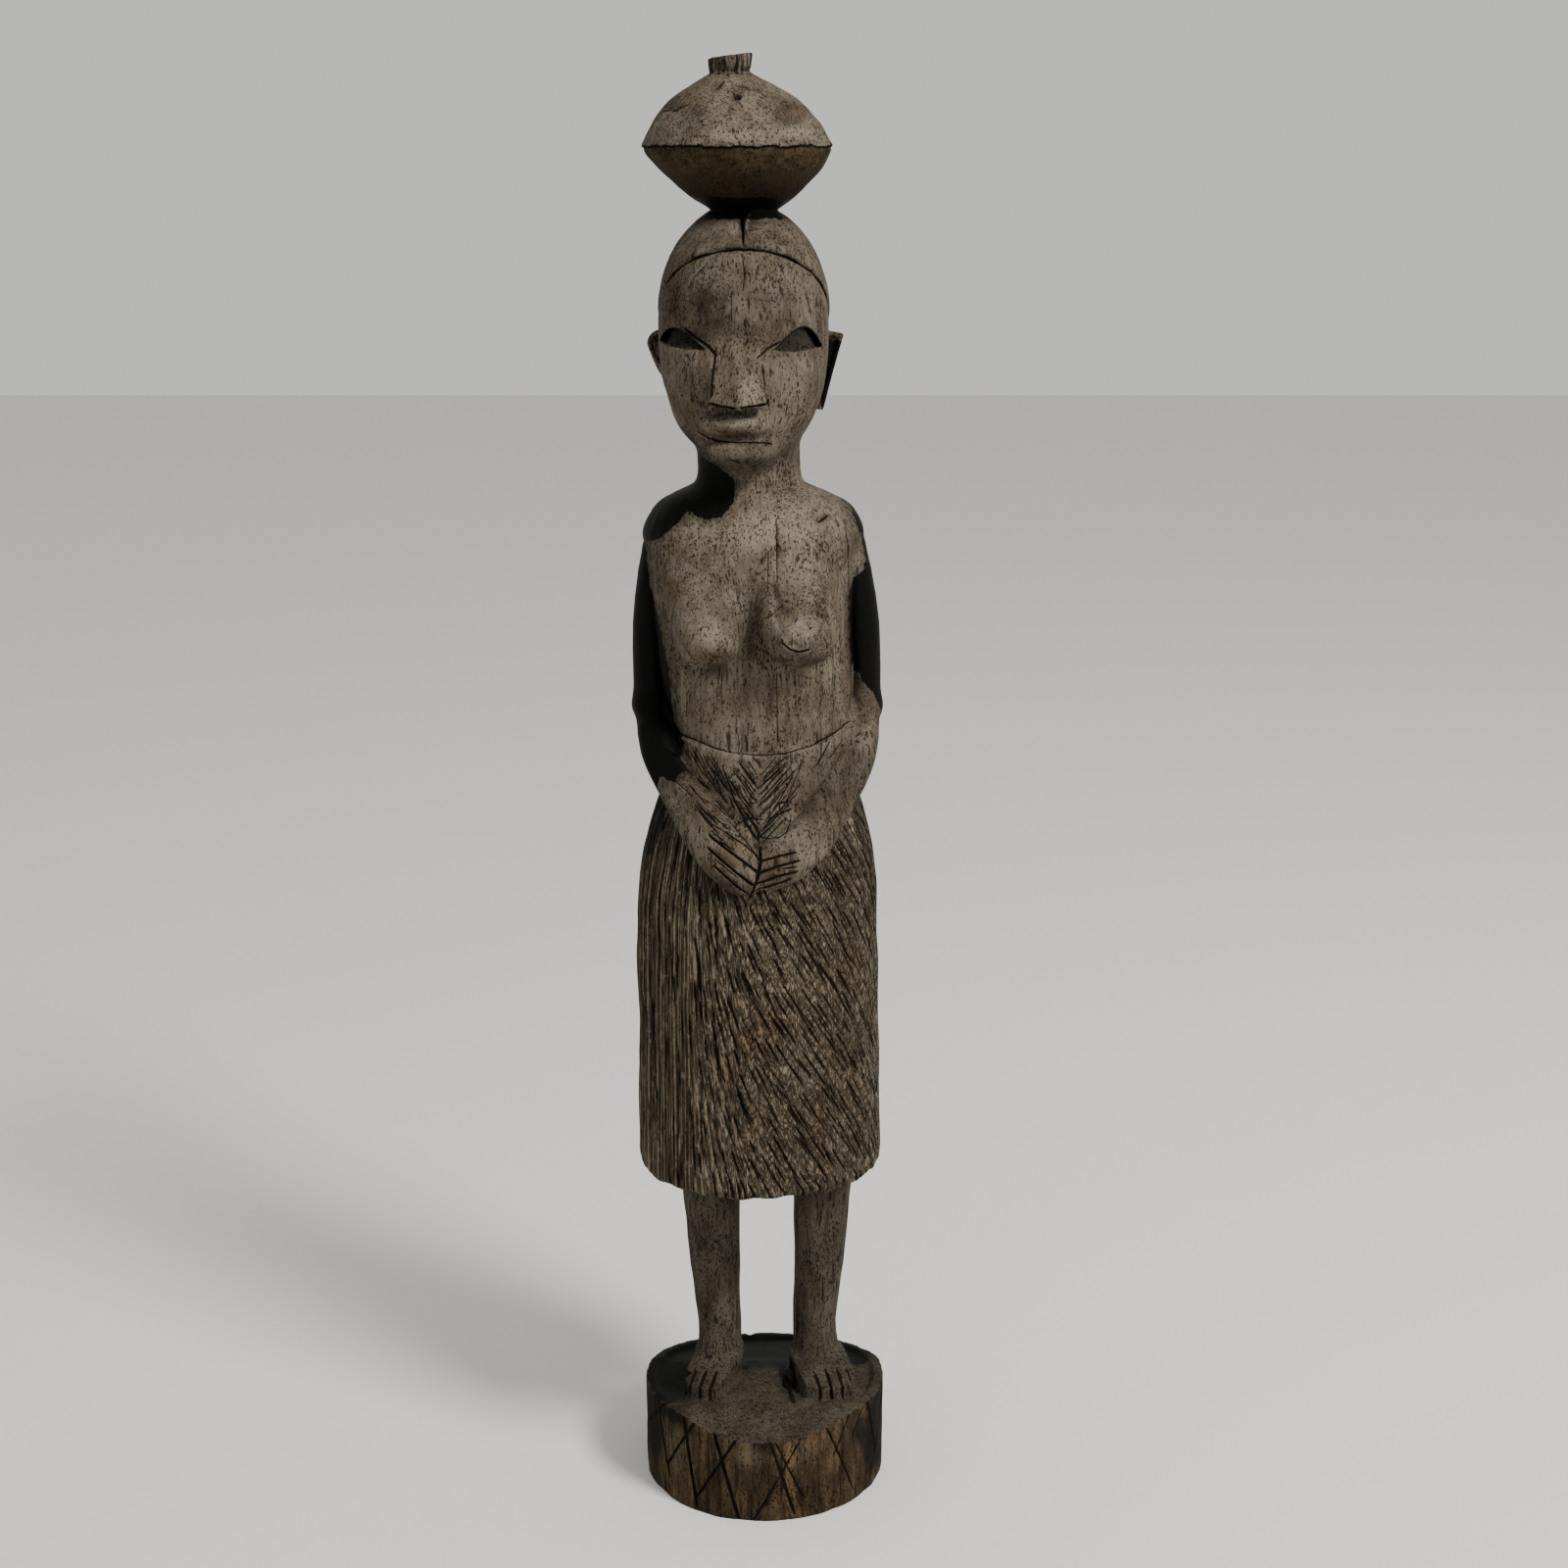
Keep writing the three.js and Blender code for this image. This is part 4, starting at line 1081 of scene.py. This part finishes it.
def tone_with_painted_light(x, y, z):
    """How light the wood is: lighter on the chest as painted light, darker on the legs and the base, partly
    dark stain and partly painted shade towards the floor.
    """
    tone = 1 - 0.4 * ramp(z, 128, 120) - 0.08 * ramp(z, 50, 44)
    tone = tone + 0.3 * bell(z, 351, 11) * bell(x, 3, 20) - 0.42 * bell(z, 373, 5) * ramp(y, 3, 1)
    tone = tone - 0.28 * ramp(x, 8, 16) * bell(z, 262, 18) - 0.12 * bell(z, 268, 10)
    tone = tone - 0.15 * ramp(z, 404, 414) * ramp(z, 440, 436) + 0.1 * ramp(z, 474, 478)
    return tone - 0.18 * ramp(z, 439, 441) * ramp(z, 456, 452)


def polish_reach(x, y, z):
    """How far inside the black polish each point lies, in millimetres. Negative is bare wood. On the back
    of the base's top the black is partly old polish and partly painted shadow.
    """
    polish = np.full(x.shape, BARE)
    for outline in POLISH_OUTLINES:
        polish = np.maximum(polish, inside_outline(outline, x, z))
    lump = rough(x, y, z, 14.0, 31) * 5 + rough(x, y, z, 5.0, 32) * 2
    behind = (y - 9) * 0.8 + lump - 3 * ((z < 245) & (z > 110))
    behind = behind - 10 * ramp(z, 238, 200) * (z > 110) - 3 * (z > 410) - 6 * ramp(z, 460, 474)
    polish = np.maximum(polish, np.where(y < 4, BARE, behind))
    vessel_foot = np.minimum(455.4 - z, z - 448.6) * 1.2
    polish = np.maximum(polish, vessel_foot)
    ear = (x + 6.6 > 25.5) & (z > 384) & (z < 416) & (y > 0)
    polish = np.where(ear, np.maximum(polish, (409.5 - z) * 0.5), polish)

    # The black on the back of the base's top is partly old polish and partly painted shadow.
    inside_rim = (z > 24) & (z < 60) & (np.hypot(x - BASE_X, y) < BASE_R - 0.3)
    back = np.minimum((y - 1) * 0.5, 40 - z) - 0.2 * np.maximum(x - 6, 0)
    beside_foot = 3.4 - 0.9 * np.hypot(x - 8.6, (y + 5) * 0.4)
    left_rim = 0.5 * (-27.5 - x) + 0.3 * (y + 12)
    sunk = np.maximum.reduce([back, beside_foot, left_rim])
    base_polish_and_shadow = np.maximum(polish, np.where(z < 42, sunk, -4))
    return np.where(inside_rim, base_polish_and_shadow, polish)


def around_skirt(x, y, z):
    """The row and column of the grid of strokes that each point lies at, and its angle round the skirt."""
    pitch = STROKE_HEIGHTS[0] - STROKE_HEIGHTS[1]
    row = np.clip((STROKE_HEIGHTS[0] - z) / pitch, 0, len(STROKE_HEIGHTS) - 1)
    middle, wide = curve_through(SKIRT, 1, z), curve_through(SKIRT, 2, z)
    deep = np.where(y < 0, curve_through(SKIRT, 3, z), curve_through(SKIRT, 4, z))
    angle = np.arctan2((x - middle) / wide, -y / deep)
    column = ((angle + np.pi) / (2 * np.pi) * STROKE_COLUMNS).astype(int) % STROKE_COLUMNS
    return row.astype(int), column, angle


def bends(mesh, place):
    """How sharply the surface turns at each point: above 0 in a hollow, below 0 on an edge."""
    count = len(place)
    normal = np.empty(count * 3, np.float32)
    mesh.vertices.foreach_get("normal", normal)
    normal = normal.reshape(-1, 3)
    edges = np.empty(len(mesh.edges) * 2, np.int32)
    mesh.edges.foreach_get("vertices", edges)
    a, b = edges.reshape(-1, 2).T
    step = place[b] - place[a]
    length = np.linalg.norm(step, axis=1) + 0.2
    number = np.bincount(a, minlength=count) + np.bincount(b, minlength=count)
    number = np.maximum(number, 1)
    bend = np.bincount(a, (step * normal[a]).sum(1) / length, count)
    bend += np.bincount(b, -(step * normal[b]).sum(1) / length, count)
    bend /= number
    for _ in range(2):
        spread = np.bincount(a, bend[b], count) + np.bincount(b, bend[a], count)
        bend = 0.5 * bend + 0.5 * spread / number
    return bend


def painted(piece, depth):
    """Works out the finish, painted light and shade among it, at every point of the wood and keeps it with
    the mesh.
    """
    mesh = piece.data
    spot = np.empty(len(mesh.vertices) * 3, np.float32)
    mesh.vertices.foreach_get("co", spot)
    place = spot.reshape(-1, 3) / MM
    x, y, z = place.T
    row, column, angle = around_skirt(x, y, z)
    on_skirt = ramp(z, HEM - 1, HEM + 1) * ramp(z, 272, 268)
    on_head = (z > 384) & (z < 450)
    lid = np.maximum(-eye(-1, x, z)[0], -eye(1, x, z)[0])
    in_rim = np.minimum(np.hypot(x - BASE_X, y) - (BASE_R - 1.1), base_top(x, y) - z - 0.2)
    masks = {
        "polish": polish_reach(x, y, z),
        "cut": depth[row, column] * on_skirt,
        "hollow": bends(mesh, place),
        "dark": spots(DARK_SPOTS, x, y, z),
        "brown": spots(BROWN_SPOTS, x, y, z),
        "pale": spots(PALE_SPOTS, x, y, z),
        "tone": tone_with_painted_light(x, y, z),
        "bowl": np.where((z > 452) & (z < 477), seam_height(x, y) - z, BARE),
        "cork": np.where(z > 493, 3, -3),
        "side": np.where(z < 42, in_rim, -3),
        "line": np.where(on_head, z - hairline(y), -9),
        "lid": np.where(on_head & (y < 8), lid, -9),
        "around": angle * SKIRT_ROUND,
        "lean": stroke_lean(angle),
    }
    for name, values in masks.items():
        layer = mesh.attributes.new(name, "FLOAT", "POINT")
        layer.data.foreach_set("value", np.asarray(values, np.float32))


class Nodes:
    """A short way to add and link shader nodes."""

    def __init__(self, tree):
        self.tree = tree

    def add(self, kind, inputs=None, **settings):
        node = self.tree.nodes.new(kind)
        for name, value in settings.items():
            setattr(node, name, value)
        for name, value in (inputs or {}).items():
            self.put(node.inputs[name], value)
        return node

    def put(self, socket, value):
        if isinstance(value, bpy.types.NodeSocket):
            self.tree.links.new(value, socket)
        else:
            socket.default_value = value

    def math(self, operation, a, b=0.0, clamp=False):
        node = self.add("ShaderNodeMath", operation=operation, use_clamp=clamp)
        self.put(node.inputs[0], a)
        self.put(node.inputs[1], b)
        return node.outputs[0]

    def between(self, value, low, high):
        """0 below low, 1 above high."""
        node = self.add("ShaderNodeMapRange", {"Value": value, "From Min": low, "From Max": high})
        node.interpolation_type = "SMOOTHSTEP"
        return node.outputs["Result"]

    def blend(self, factor, a, b, kind="MIX"):
        node = self.add("ShaderNodeMix", data_type="RGBA", blend_type=kind)
        self.put(node.inputs["Factor"], factor)
        self.put(node.inputs["A"], a)
        self.put(node.inputs["B"], b)
        return node.outputs["Result"]

    def mask(self, name):
        return self.add("ShaderNodeAttribute", attribute_name=name).outputs["Fac"]

    def noise(self, where, scale, detail=3.0, roughness=0.6):
        settings = {"Vector": where, "Scale": scale, "Detail": detail, "Roughness": roughness}
        return self.add("ShaderNodeTexNoise", settings).outputs["Fac"]

    def stretched(self, where, x, y, z):
        node = self.add("ShaderNodeVectorMath", operation="MULTIPLY")
        self.put(node.inputs[0], where)
        node.inputs[1].default_value = (x, y, z)
        return node.outputs["Vector"]


def colour(red, green, blue):
    """A colour as it looks on the wood, from 0 to 255, in the renderer's terms."""
    return (*(((v / 255 + 0.055) / 1.055) ** 2.4 if v > 10 else v / 3294 for v in (red, green, blue)), 1)


def shared_group(name, inputs, outputs):
    """A new shader group, with the sockets to read its inputs from and to put its outputs in."""
    tree = bpy.data.node_groups.new(name, "ShaderNodeTree")
    for label, kind, value in inputs:
        socket = tree.interface.new_socket(label, in_out="INPUT", socket_type=kind)
        if value is not None:
            socket.default_value = value
    for label, kind in outputs:
        tree.interface.new_socket(label, in_out="OUTPUT", socket_type=kind)
    nodes = Nodes(tree)
    return nodes, nodes.add("NodeGroupInput").outputs, nodes.add("NodeGroupOutput").inputs


VALUE, VECTOR = "NodeSocketFloat", "NodeSocketVector"


def grain_group():
    """Old open grain: dark pores that run along the wood, fine lines, cloudy wear and pale dust."""
    nodes, into, out = shared_group(
        "open grain", [("Where", VECTOR, None), ("Pores", VALUE, 1.0)],
        [("Pores", VALUE), ("Lines", VALUE), ("Cloud", VALUE), ("Dust", VALUE), ("Height", VALUE)])
    where = into["Where"]
    bent = nodes.add("ShaderNodeVectorMath", operation="ADD")
    sway = nodes.add("ShaderNodeTexNoise", {"Vector": where, "Scale": 60.0, "Detail": 1.0})
    nodes.put(bent.inputs[0], where)
    nodes.put(bent.inputs[1], nodes.stretched(sway.outputs["Color"], 0.004, 0.004, 0.0))
    along = bent.outputs["Vector"]
    flecks = nodes.noise(nodes.stretched(along, 1.0, 1.0, 0.42), 1900.0, 1.0, 0.5)
    marks = nodes.noise(nodes.stretched(along, 1.0, 1.0, 0.25), 850.0, 2.0, 0.55)
    splits = nodes.noise(nodes.stretched(along, 1.0, 1.0, 0.07), 900.0, 2.0, 0.5)
    wear = nodes.math("MULTIPLY", nodes.math("SUBTRACT", nodes.noise(where, 70.0, 2.0, 0.5), 0.5), 0.28)
    short = nodes.math("SUBTRACT", nodes.math("ADD", flecks, wear), 0.6)
    middle = nodes.math("SUBTRACT", nodes.math("ADD", marks, wear), 0.65)
    long = nodes.math("SUBTRACT", nodes.math("SUBTRACT", splits, wear), 0.645)
    short, middle = nodes.math("MULTIPLY", short, 9.0), nodes.math("MULTIPLY", middle, 14.0)
    pores = nodes.math("MAXIMUM", short, middle)
    pores = nodes.math("MAXIMUM", pores, nodes.math("MULTIPLY", long, 13.0), clamp=True)
    pores = nodes.math("MULTIPLY", pores, into["Pores"], clamp=True)
    lines = nodes.noise(nodes.stretched(along, 1.0, 1.0, 0.03), 620.0, 4.0, 0.7)
    cloud = nodes.noise(nodes.stretched(where, 1.0, 1.0, 0.7), 95.0, 5.0, 0.68)
    dust = nodes.between(nodes.noise(where, 1500.0, 2.0, 0.7), 0.56, 0.7)
    height = nodes.math("SUBTRACT", nodes.math("MULTIPLY", lines, 0.5), nodes.math("MULTIPLY", pores, 0.9))
    made = {"Pores": pores, "Lines": lines, "Cloud": cloud, "Dust": dust, "Height": height}
    for name, value in made.items():
        nodes.put(out[name], value)
    return nodes.tree


def polish_group():
    """What is left of the black polish: whole inside its patches, broken along their edges."""
    nodes, into, out = shared_group(
        "worn black polish",
        [("Where", VECTOR, None), ("Reach", VALUE, 0.0)],
        [("Polish", VALUE), ("Thin", VALUE)])
    ragged = nodes.math("SUBTRACT", nodes.noise(into["Where"], 260.0, 3.0, 0.6), 0.5)
    edge = nodes.math("MULTIPLY", ragged, 3.2)
    reach = nodes.math("ADD", into["Reach"], edge)
    nodes.put(out["Polish"], nodes.between(reach, -0.12, 0.2))
    nodes.put(out["Thin"], nodes.between(nodes.math("ADD", reach, edge), -4.0, 0.5))
    return nodes.tree


def strokes_group():
    """Rows of fine knife strokes, which lean as the deep ones around them do."""
    nodes, into, out = shared_group(
        "fine strokes",
        [("Around", VALUE, 0.0), ("Height", VALUE, 0.0), ("Lean", VALUE, 0.0)],
        [("Depth", VALUE)])
    wander = nodes.add("ShaderNodeTexNoise", {"W": into["Around"], "Scale": 0.5, "Detail": 1.0},
                       noise_dimensions="1D").outputs["Fac"]
    lean = nodes.math("ADD", into["Lean"], nodes.math("MULTIPLY", wander, 0.05))
    leaning = nodes.math("GREATER_THAN", lean, 0.09)
    total = 0.0
    for seed, length, pitch, strength in (
            (3.7, 11.0, 1.9, 1.0), (11.3, 8.0, 1.6, 0.8), (23.9, 15.0, 2.7, 1.0)):
        uneven = nodes.math("MULTIPLY", wander, 1.6 + seed / 10)
        rows = nodes.math("ADD", nodes.math("DIVIDE", into["Height"], length), uneven)
        band = nodes.math("FLOOR", rows)
        t = nodes.math("SUBTRACT", rows, band)
        run = nodes.math("MULTIPLY", into["Lean"], length)
        shift = nodes.math("MULTIPLY", nodes.math("SUBTRACT", t, 0.5), run)
        across = nodes.math("DIVIDE", nodes.math("ADD", into["Around"], shift), pitch)
        offset = nodes.math("MULTIPLY", nodes.math("MULTIPLY", band, 7.31), leaning)
        across = nodes.math("ADD", nodes.math("ADD", across, offset), seed)
        cell = nodes.add("ShaderNodeTexVoronoi", {"W": across, "Scale": 1.0}, voronoi_dimensions="1D")
        groove = nodes.math("SUBTRACT", 1.0, nodes.between(cell.outputs["Distance"], 0.03, 0.2))
        ends = nodes.between(nodes.math("MULTIPLY", t, nodes.math("SUBTRACT", 1.0, t)), 0.0, 0.09)
        ends = nodes.math("MAXIMUM", ends, nodes.math("SUBTRACT", 1.0, leaning))
        stroke = nodes.math("MULTIPLY", nodes.math("MULTIPLY", groove, ends), strength)
        total = nodes.math("MAXIMUM", total, stroke)
    nodes.put(out["Depth"], total)
    return nodes.tree


def shaded_material(name):
    """A new material, with its nodes, its shader and the place on the piece."""
    material = bpy.data.materials.new(name)
    material.use_nodes = True
    nodes = Nodes(material.node_tree)
    shader = material.node_tree.nodes["Principled BSDF"]
    where = nodes.add("ShaderNodeTexCoord").outputs["Object"]
    return material, nodes, shader, where


def grouped(nodes, tree, inputs):
    """A shared group placed in a material with values of its own."""
    node = nodes.add("ShaderNodeGroup", node_tree=tree)
    for name, value in inputs.items():
        nodes.put(node.inputs[name], value)
    return node.outputs


def dark_patches(nodes, where, scale, detail, roughness, low, high):
    """The dark patches, broken up by noise so that no edge is round."""
    broken = nodes.between(nodes.noise(where, scale, detail, roughness), low, high)
    return nodes.math("MULTIPLY", nodes.mask("dark"), broken)


def bumped(nodes, shader, height, strength, distance):
    """Relief too fine for the mesh. The distance is in metres."""
    bump = nodes.add("ShaderNodeBump", {"Strength": strength, "Distance": distance, "Height": height})
    nodes.put(shader.inputs["Normal"], bump.outputs["Normal"])


def layered(nodes, tone, layers):
    """Lays colours over a tone, each by a mask and its strength."""
    for mask, strength, shade in layers:
        tone = nodes.blend(nodes.math("MULTIPLY", mask, strength, clamp=True), tone, shade)
    return tone


def bowl_tone(nodes, where, below):
    """The underside of the vessel: brown under the seam, nearly black at its foot."""
    tone = nodes.blend(nodes.between(below, 3.0, 15.0), colour(62, 52, 37), colour(26, 20, 13))
    clouds = nodes.between(nodes.noise(where, 240.0, 5.0, 0.7), 0.35, 0.62)
    return nodes.blend(clouds, tone, colour(42, 34, 22))


def cork_tone(nodes, where):
    """The stopper: split grain, black in the splits."""
    splits = nodes.noise(nodes.stretched(where, 1.0, 1.0, 0.06), 1000.0, 3.0, 0.7)
    return nodes.blend(nodes.between(splits, 0.4, 0.62), colour(20, 17, 13), colour(88, 80, 70))


def body_wood(grain, polish):
    """The figure's skin: grey-tan weathered wood with stains and some painted shade in places, and black
    polish left in patches.
    """
    material, nodes, shader, where = shaded_material("weathered wood")
    wood = grouped(nodes, grain, {"Where": where})
    worn = nodes.between(wood["Cloud"], 0.36, 0.64)
    stain_and_shade = dark_patches(nodes, where, 190.0, 5.0, 0.75, 0.3, 0.56)
    tone = layered(nodes, nodes.blend(worn, colour(78, 69, 57), colour(99, 91, 80)), (
        (nodes.between(wood["Lines"], 0.48, 0.66), 0.6, colour(44, 37, 28)),
        (nodes.between(wood["Lines"], 0.42, 0.3), 0.35, colour(118, 109, 97)),
        (nodes.mask("pale"), 0.75, colour(122, 114, 101)),
        (wood["Dust"], 0.45, colour(124, 116, 104)),
        (nodes.mask("brown"), 0.6, colour(74, 52, 32)),
        (stain_and_shade, 0.8, colour(34, 28, 21)),
    ))
    lid = nodes.between(nodes.mask("lid"), -0.1, 0.5)
    groove = nodes.between(nodes.math("ABSOLUTE", nodes.mask("line")), 0.62, 0.22)
    below = nodes.mask("bowl")
    seam = nodes.math("MULTIPLY", nodes.between(below, -0.2, 0.1), nodes.between(below, 1.0, 0.5))
    side = nodes.between(nodes.mask("side"), -0.05, 0.1)
    tone = layered(nodes, tone, (
        (lid, 0.92, colour(34, 33, 27)),
        (groove, 1.0, colour(8, 7, 5)),
        (nodes.between(below, -0.1, 0.25), 1.0, bowl_tone(nodes, where, below)),
        (seam, 1.0, colour(9, 7, 5)),
        (nodes.between(nodes.mask("cork"), -0.5, 0.5), 1.0, cork_tone(nodes, where)),
        (side, 1.0, side_tone(nodes, where, stain_and_shade)),
        (wood["Pores"], 0.82, colour(14, 11, 8)),
        # Painted shade: near black in creases and hollows, by how sharply the surface turns in; edges are
        # lighter.
        (nodes.between(nodes.mask("hollow"), 0.05, 0.28), 0.9, colour(9, 7, 5)),
        (nodes.between(nodes.mask("hollow"), -0.12, -0.4), 0.3, colour(118, 108, 95)),
    ))
    # The tone mask multiplies the colour: painted light on the chest, and painted shade with dark stain on
    # the legs and the base.
    light = nodes.math("MAXIMUM", nodes.mask("tone"), side)
    shade = nodes.add("ShaderNodeCombineColor", {"Red": light, "Green": light, "Blue": light})
    tone = nodes.blend(1.0, tone, shade.outputs["Color"], "MULTIPLY")
    black = grouped(nodes, polish, {"Where": where, "Reach": nodes.mask("polish")})
    left = nodes.math("MULTIPLY", black["Polish"], nodes.math("SUBTRACT", 1.0, side))
    tone = layered(nodes, tone, (
        (black["Thin"], 0.5, colour(26, 21, 15)),
        (left, 1.0, colour(3, 3, 2)),
    ))
    nodes.put(shader.inputs["Base Color"], tone)
    gloss = nodes.math("MULTIPLY", left, 0.28)
    nodes.put(shader.inputs["Roughness"], nodes.math("SUBTRACT", 0.86, gloss))
    shader.inputs["Specular IOR Level"].default_value = 0.07
    smooth = nodes.math("SUBTRACT", 1.0, nodes.math("MULTIPLY", left, 0.85))
    bumped(nodes, shader, nodes.math("MULTIPLY", wood["Height"], smooth), 0.8, 0.0009)
    return material


def side_tone(nodes, where, stain_and_shade):
    """The base's side: the wood's own brown under dark staining that ran and wore unevenly."""
    run = nodes.noise(nodes.stretched(where, 1.0, 1.0, 0.3), 150.0, 5.0, 0.7)
    streak = nodes.noise(nodes.stretched(where, 1.0, 1.0, 0.05), 480.0, 3.0, 0.7)
    tone = nodes.blend(nodes.between(run, 0.34, 0.62), colour(80, 65, 46), colour(48, 39, 28))
    return layered(nodes, tone, (
        (nodes.between(streak, 0.47, 0.66), 0.75, colour(22, 16, 9)),
        (nodes.mask("pale"), 0.9, colour(92, 84, 72)),
        (nodes.mask("brown"), 0.7, colour(112, 88, 57)),
        (nodes.between(nodes.mask("dark"), 0.2, 0.75), 0.85, colour(16, 15, 14)),
        (stain_and_shade, 0.5, colour(12, 10, 8)),
    ))


def skirt_wood(grain, polish, strokes):
    """The skirt: the knife's strokes are darkened with painted shade, and the ridges between them are worn
    grey.
    """
    material, nodes, shader, where = shaded_material("stroked skirt")
    wood = grouped(nodes, grain, {"Where": where, "Pores": 0.8})
    metres_up = nodes.add("ShaderNodeSeparateXYZ", {"Vector": where}).outputs["Z"]
    fine = grouped(nodes, strokes, {
        "Around": nodes.mask("around"),
        "Height": nodes.math("MULTIPLY", metres_up, 1000.0),
        "Lean": nodes.mask("lean"),
    })
    worn = nodes.between(wood["Cloud"], 0.36, 0.64)
    thread = nodes.noise(nodes.stretched(where, 1.0, 1.0, 0.14), 1000.0, 3.0, 0.7)
    stain_and_shade = dark_patches(nodes, where, 170.0, 4.0, 0.7, 0.25, 0.55)
    weak = nodes.between(nodes.noise(where, 300.0, 2.0, 0.6), 0.25, 0.45)
    scratches = nodes.math("MULTIPLY", fine["Depth"], weak)
    black = grouped(nodes, polish, {"Where": where, "Reach": nodes.mask("polish")})
    tone = layered(nodes, nodes.blend(worn, colour(98, 86, 69), colour(122, 111, 95)), (
        (nodes.between(thread, 0.46, 0.66), 0.45, colour(50, 42, 31)),
        (wood["Dust"], 0.5, colour(118, 106, 88)),
        (nodes.mask("brown"), 0.6, colour(84, 58, 33)),
        (stain_and_shade, 0.8, colour(24, 20, 15)),
        # Painted shade: the fine strokes and the deep strokes darken towards black with their depth, and
        # creases and hollows as the surface turns in; edges are lighter.
        (scratches, 0.8, colour(16, 12, 8)),
        (nodes.between(nodes.mask("cut"), 0.04, 0.42), 0.93, colour(9, 7, 5)),
        (nodes.between(nodes.mask("hollow"), 0.04, 0.3), 0.8, colour(9, 7, 5)),
        (nodes.between(nodes.mask("hollow"), -0.06, -0.3), 0.3, colour(112, 101, 85)),
        (wood["Pores"], 0.6, colour(14, 11, 8)),
        (black["Thin"], 0.4, colour(20, 17, 13)),
        (black["Polish"], 0.95, colour(4, 4, 4)),
    ))
    nodes.put(shader.inputs["Base Color"], tone)
    gloss = nodes.math("MULTIPLY", black["Polish"], 0.35)
    nodes.put(shader.inputs["Roughness"], nodes.math("SUBTRACT", 0.88, gloss))
    shader.inputs["Specular IOR Level"].default_value = 0.07
    relief = nodes.math("SUBTRACT", nodes.math("MULTIPLY", wood["Height"], 0.6), scratches)
    bumped(nodes, shader, relief, 0.85, 0.0011)
    return material


def dark_cut():
    """The inside of a knife cut: black, partly old polish and dirt and partly painted shade."""
    material, nodes, shader, where = shaded_material("knife cut")
    shade = nodes.noise(where, 500.0, 3.0, 0.6)
    nodes.put(shader.inputs["Base Color"], nodes.blend(shade, colour(6, 5, 4), colour(22, 17, 12)))
    shader.inputs["Roughness"].default_value = 0.9
    shader.inputs["Specular IOR Level"].default_value = 0.1
    return material


LENS = 55.15
CAMERA_PLACE = (6.5, -800, 470)
CAMERA_DOWN = 14.78  # degrees


def camera():
    """The photograph's view, a little above the middle of the figure and looking down."""
    lens = bpy.data.cameras.new("camera")
    lens.lens, lens.sensor_width = LENS, 36.0
    holder = bpy.data.objects.new("camera", lens)
    holder.location = [v * MM for v in CAMERA_PLACE]
    holder.rotation_euler = (math.radians(90 - CAMERA_DOWN), 0, 0)
    bpy.context.scene.collection.objects.link(holder)
    bpy.context.scene.camera = holder


def lamp(name, place, size, power, tint):
    """A round soft lamp, turned to the middle of the figure. Its place and size are in metres."""
    light = bpy.data.lights.new(name, "AREA")
    light.shape, light.size, light.energy, light.color = "DISK", size, power, tint
    holder = bpy.data.objects.new(name, light)
    holder.location = place
    ax, ay, az = (b - a for a, b in zip(place, (0, 0, HEIGHT / 2 * MM)))
    holder.rotation_euler = (math.atan2(math.hypot(ax, ay), -az), 0, math.atan2(-ax, ay))
    bpy.context.scene.collection.objects.link(holder)


def studio():
    """A pale floor, an even sky, a key lamp high at the right and a faint fill at the left."""
    world = bpy.data.worlds.new("studio")
    world.use_nodes = True
    sky = world.node_tree.nodes["Background"]
    sky.inputs["Color"].default_value = (0.97, 0.96, 0.93, 1)
    sky.inputs["Strength"].default_value = 0.72
    bpy.context.scene.world = world
    lamp("key", (0.95, -0.85, 1.5), 0.5, 42, (1.0, 0.97, 0.92))
    lamp("fill", (-1.1, -1.0, 0.5), 1.0, 1.5, (0.93, 0.96, 1.0))
    corners = 4000 * np.array([(-1, -1, 0), (1, -1, 0), (1, 1, 0), (-1, 1, 0)])
    floor = mesh_object("floor", corners, np.array([(0, 1, 2, 3)]))
    pale = bpy.data.materials.new("pale floor")
    pale.use_nodes = True
    shader = pale.node_tree.nodes["Principled BSDF"]
    shader.inputs["Base Color"].default_value = (0.74, 0.735, 0.71, 1)
    shader.inputs["Roughness"].default_value = 0.9
    floor.data.materials.append(pale)
    floor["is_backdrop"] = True


def write_sizes(cad, visual):
    """Rounds the CAD model's box and the visual model's box, in metres, into lines of text, which are not
    kept.
    """
    for box in (cad, visual):
        str([[round(v, 5) for v in corner] for corner in box]) + "\n"


def figure():
    """The finished carving, as one piece."""
    grain, polish, strokes = grain_group(), polish_group(), strokes_group()
    wood, skirt_side, dark = body_wood(grain, polish), skirt_wood(grain, polish, strokes), dark_cut()
    room = (-50, -48, -3), (48, 46, 503)
    piece = mesh_object("figure_carving", *mesh_of_form(carving, *room, CELL))
    piece.data.materials.append(wood)
    thinned(piece, BODY_TRIANGLES)
    depth = stroke_depths()
    skirt = thinned(skirt_solid(depth), SKIRT_TRIANGLES)
    skirt.data.materials.append(skirt_side)
    combined(piece, skirt, "UNION")
    tree = knife_tree(dark)
    for rows in apart(front_cuts(piece) + base_cuts() + toe_cuts()):
        combined(piece, blades_of(rows, tree), "DIFFERENCE")
    mesh = piece.data
    mesh.polygons.foreach_set("use_smooth", np.ones(len(mesh.polygons), bool))
    mesh.update()
    painted(piece, depth)
    return piece


whole = figure()
camera()
studio()
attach(whole, "root")
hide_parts("figure")
write_sizes(cad_box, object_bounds())
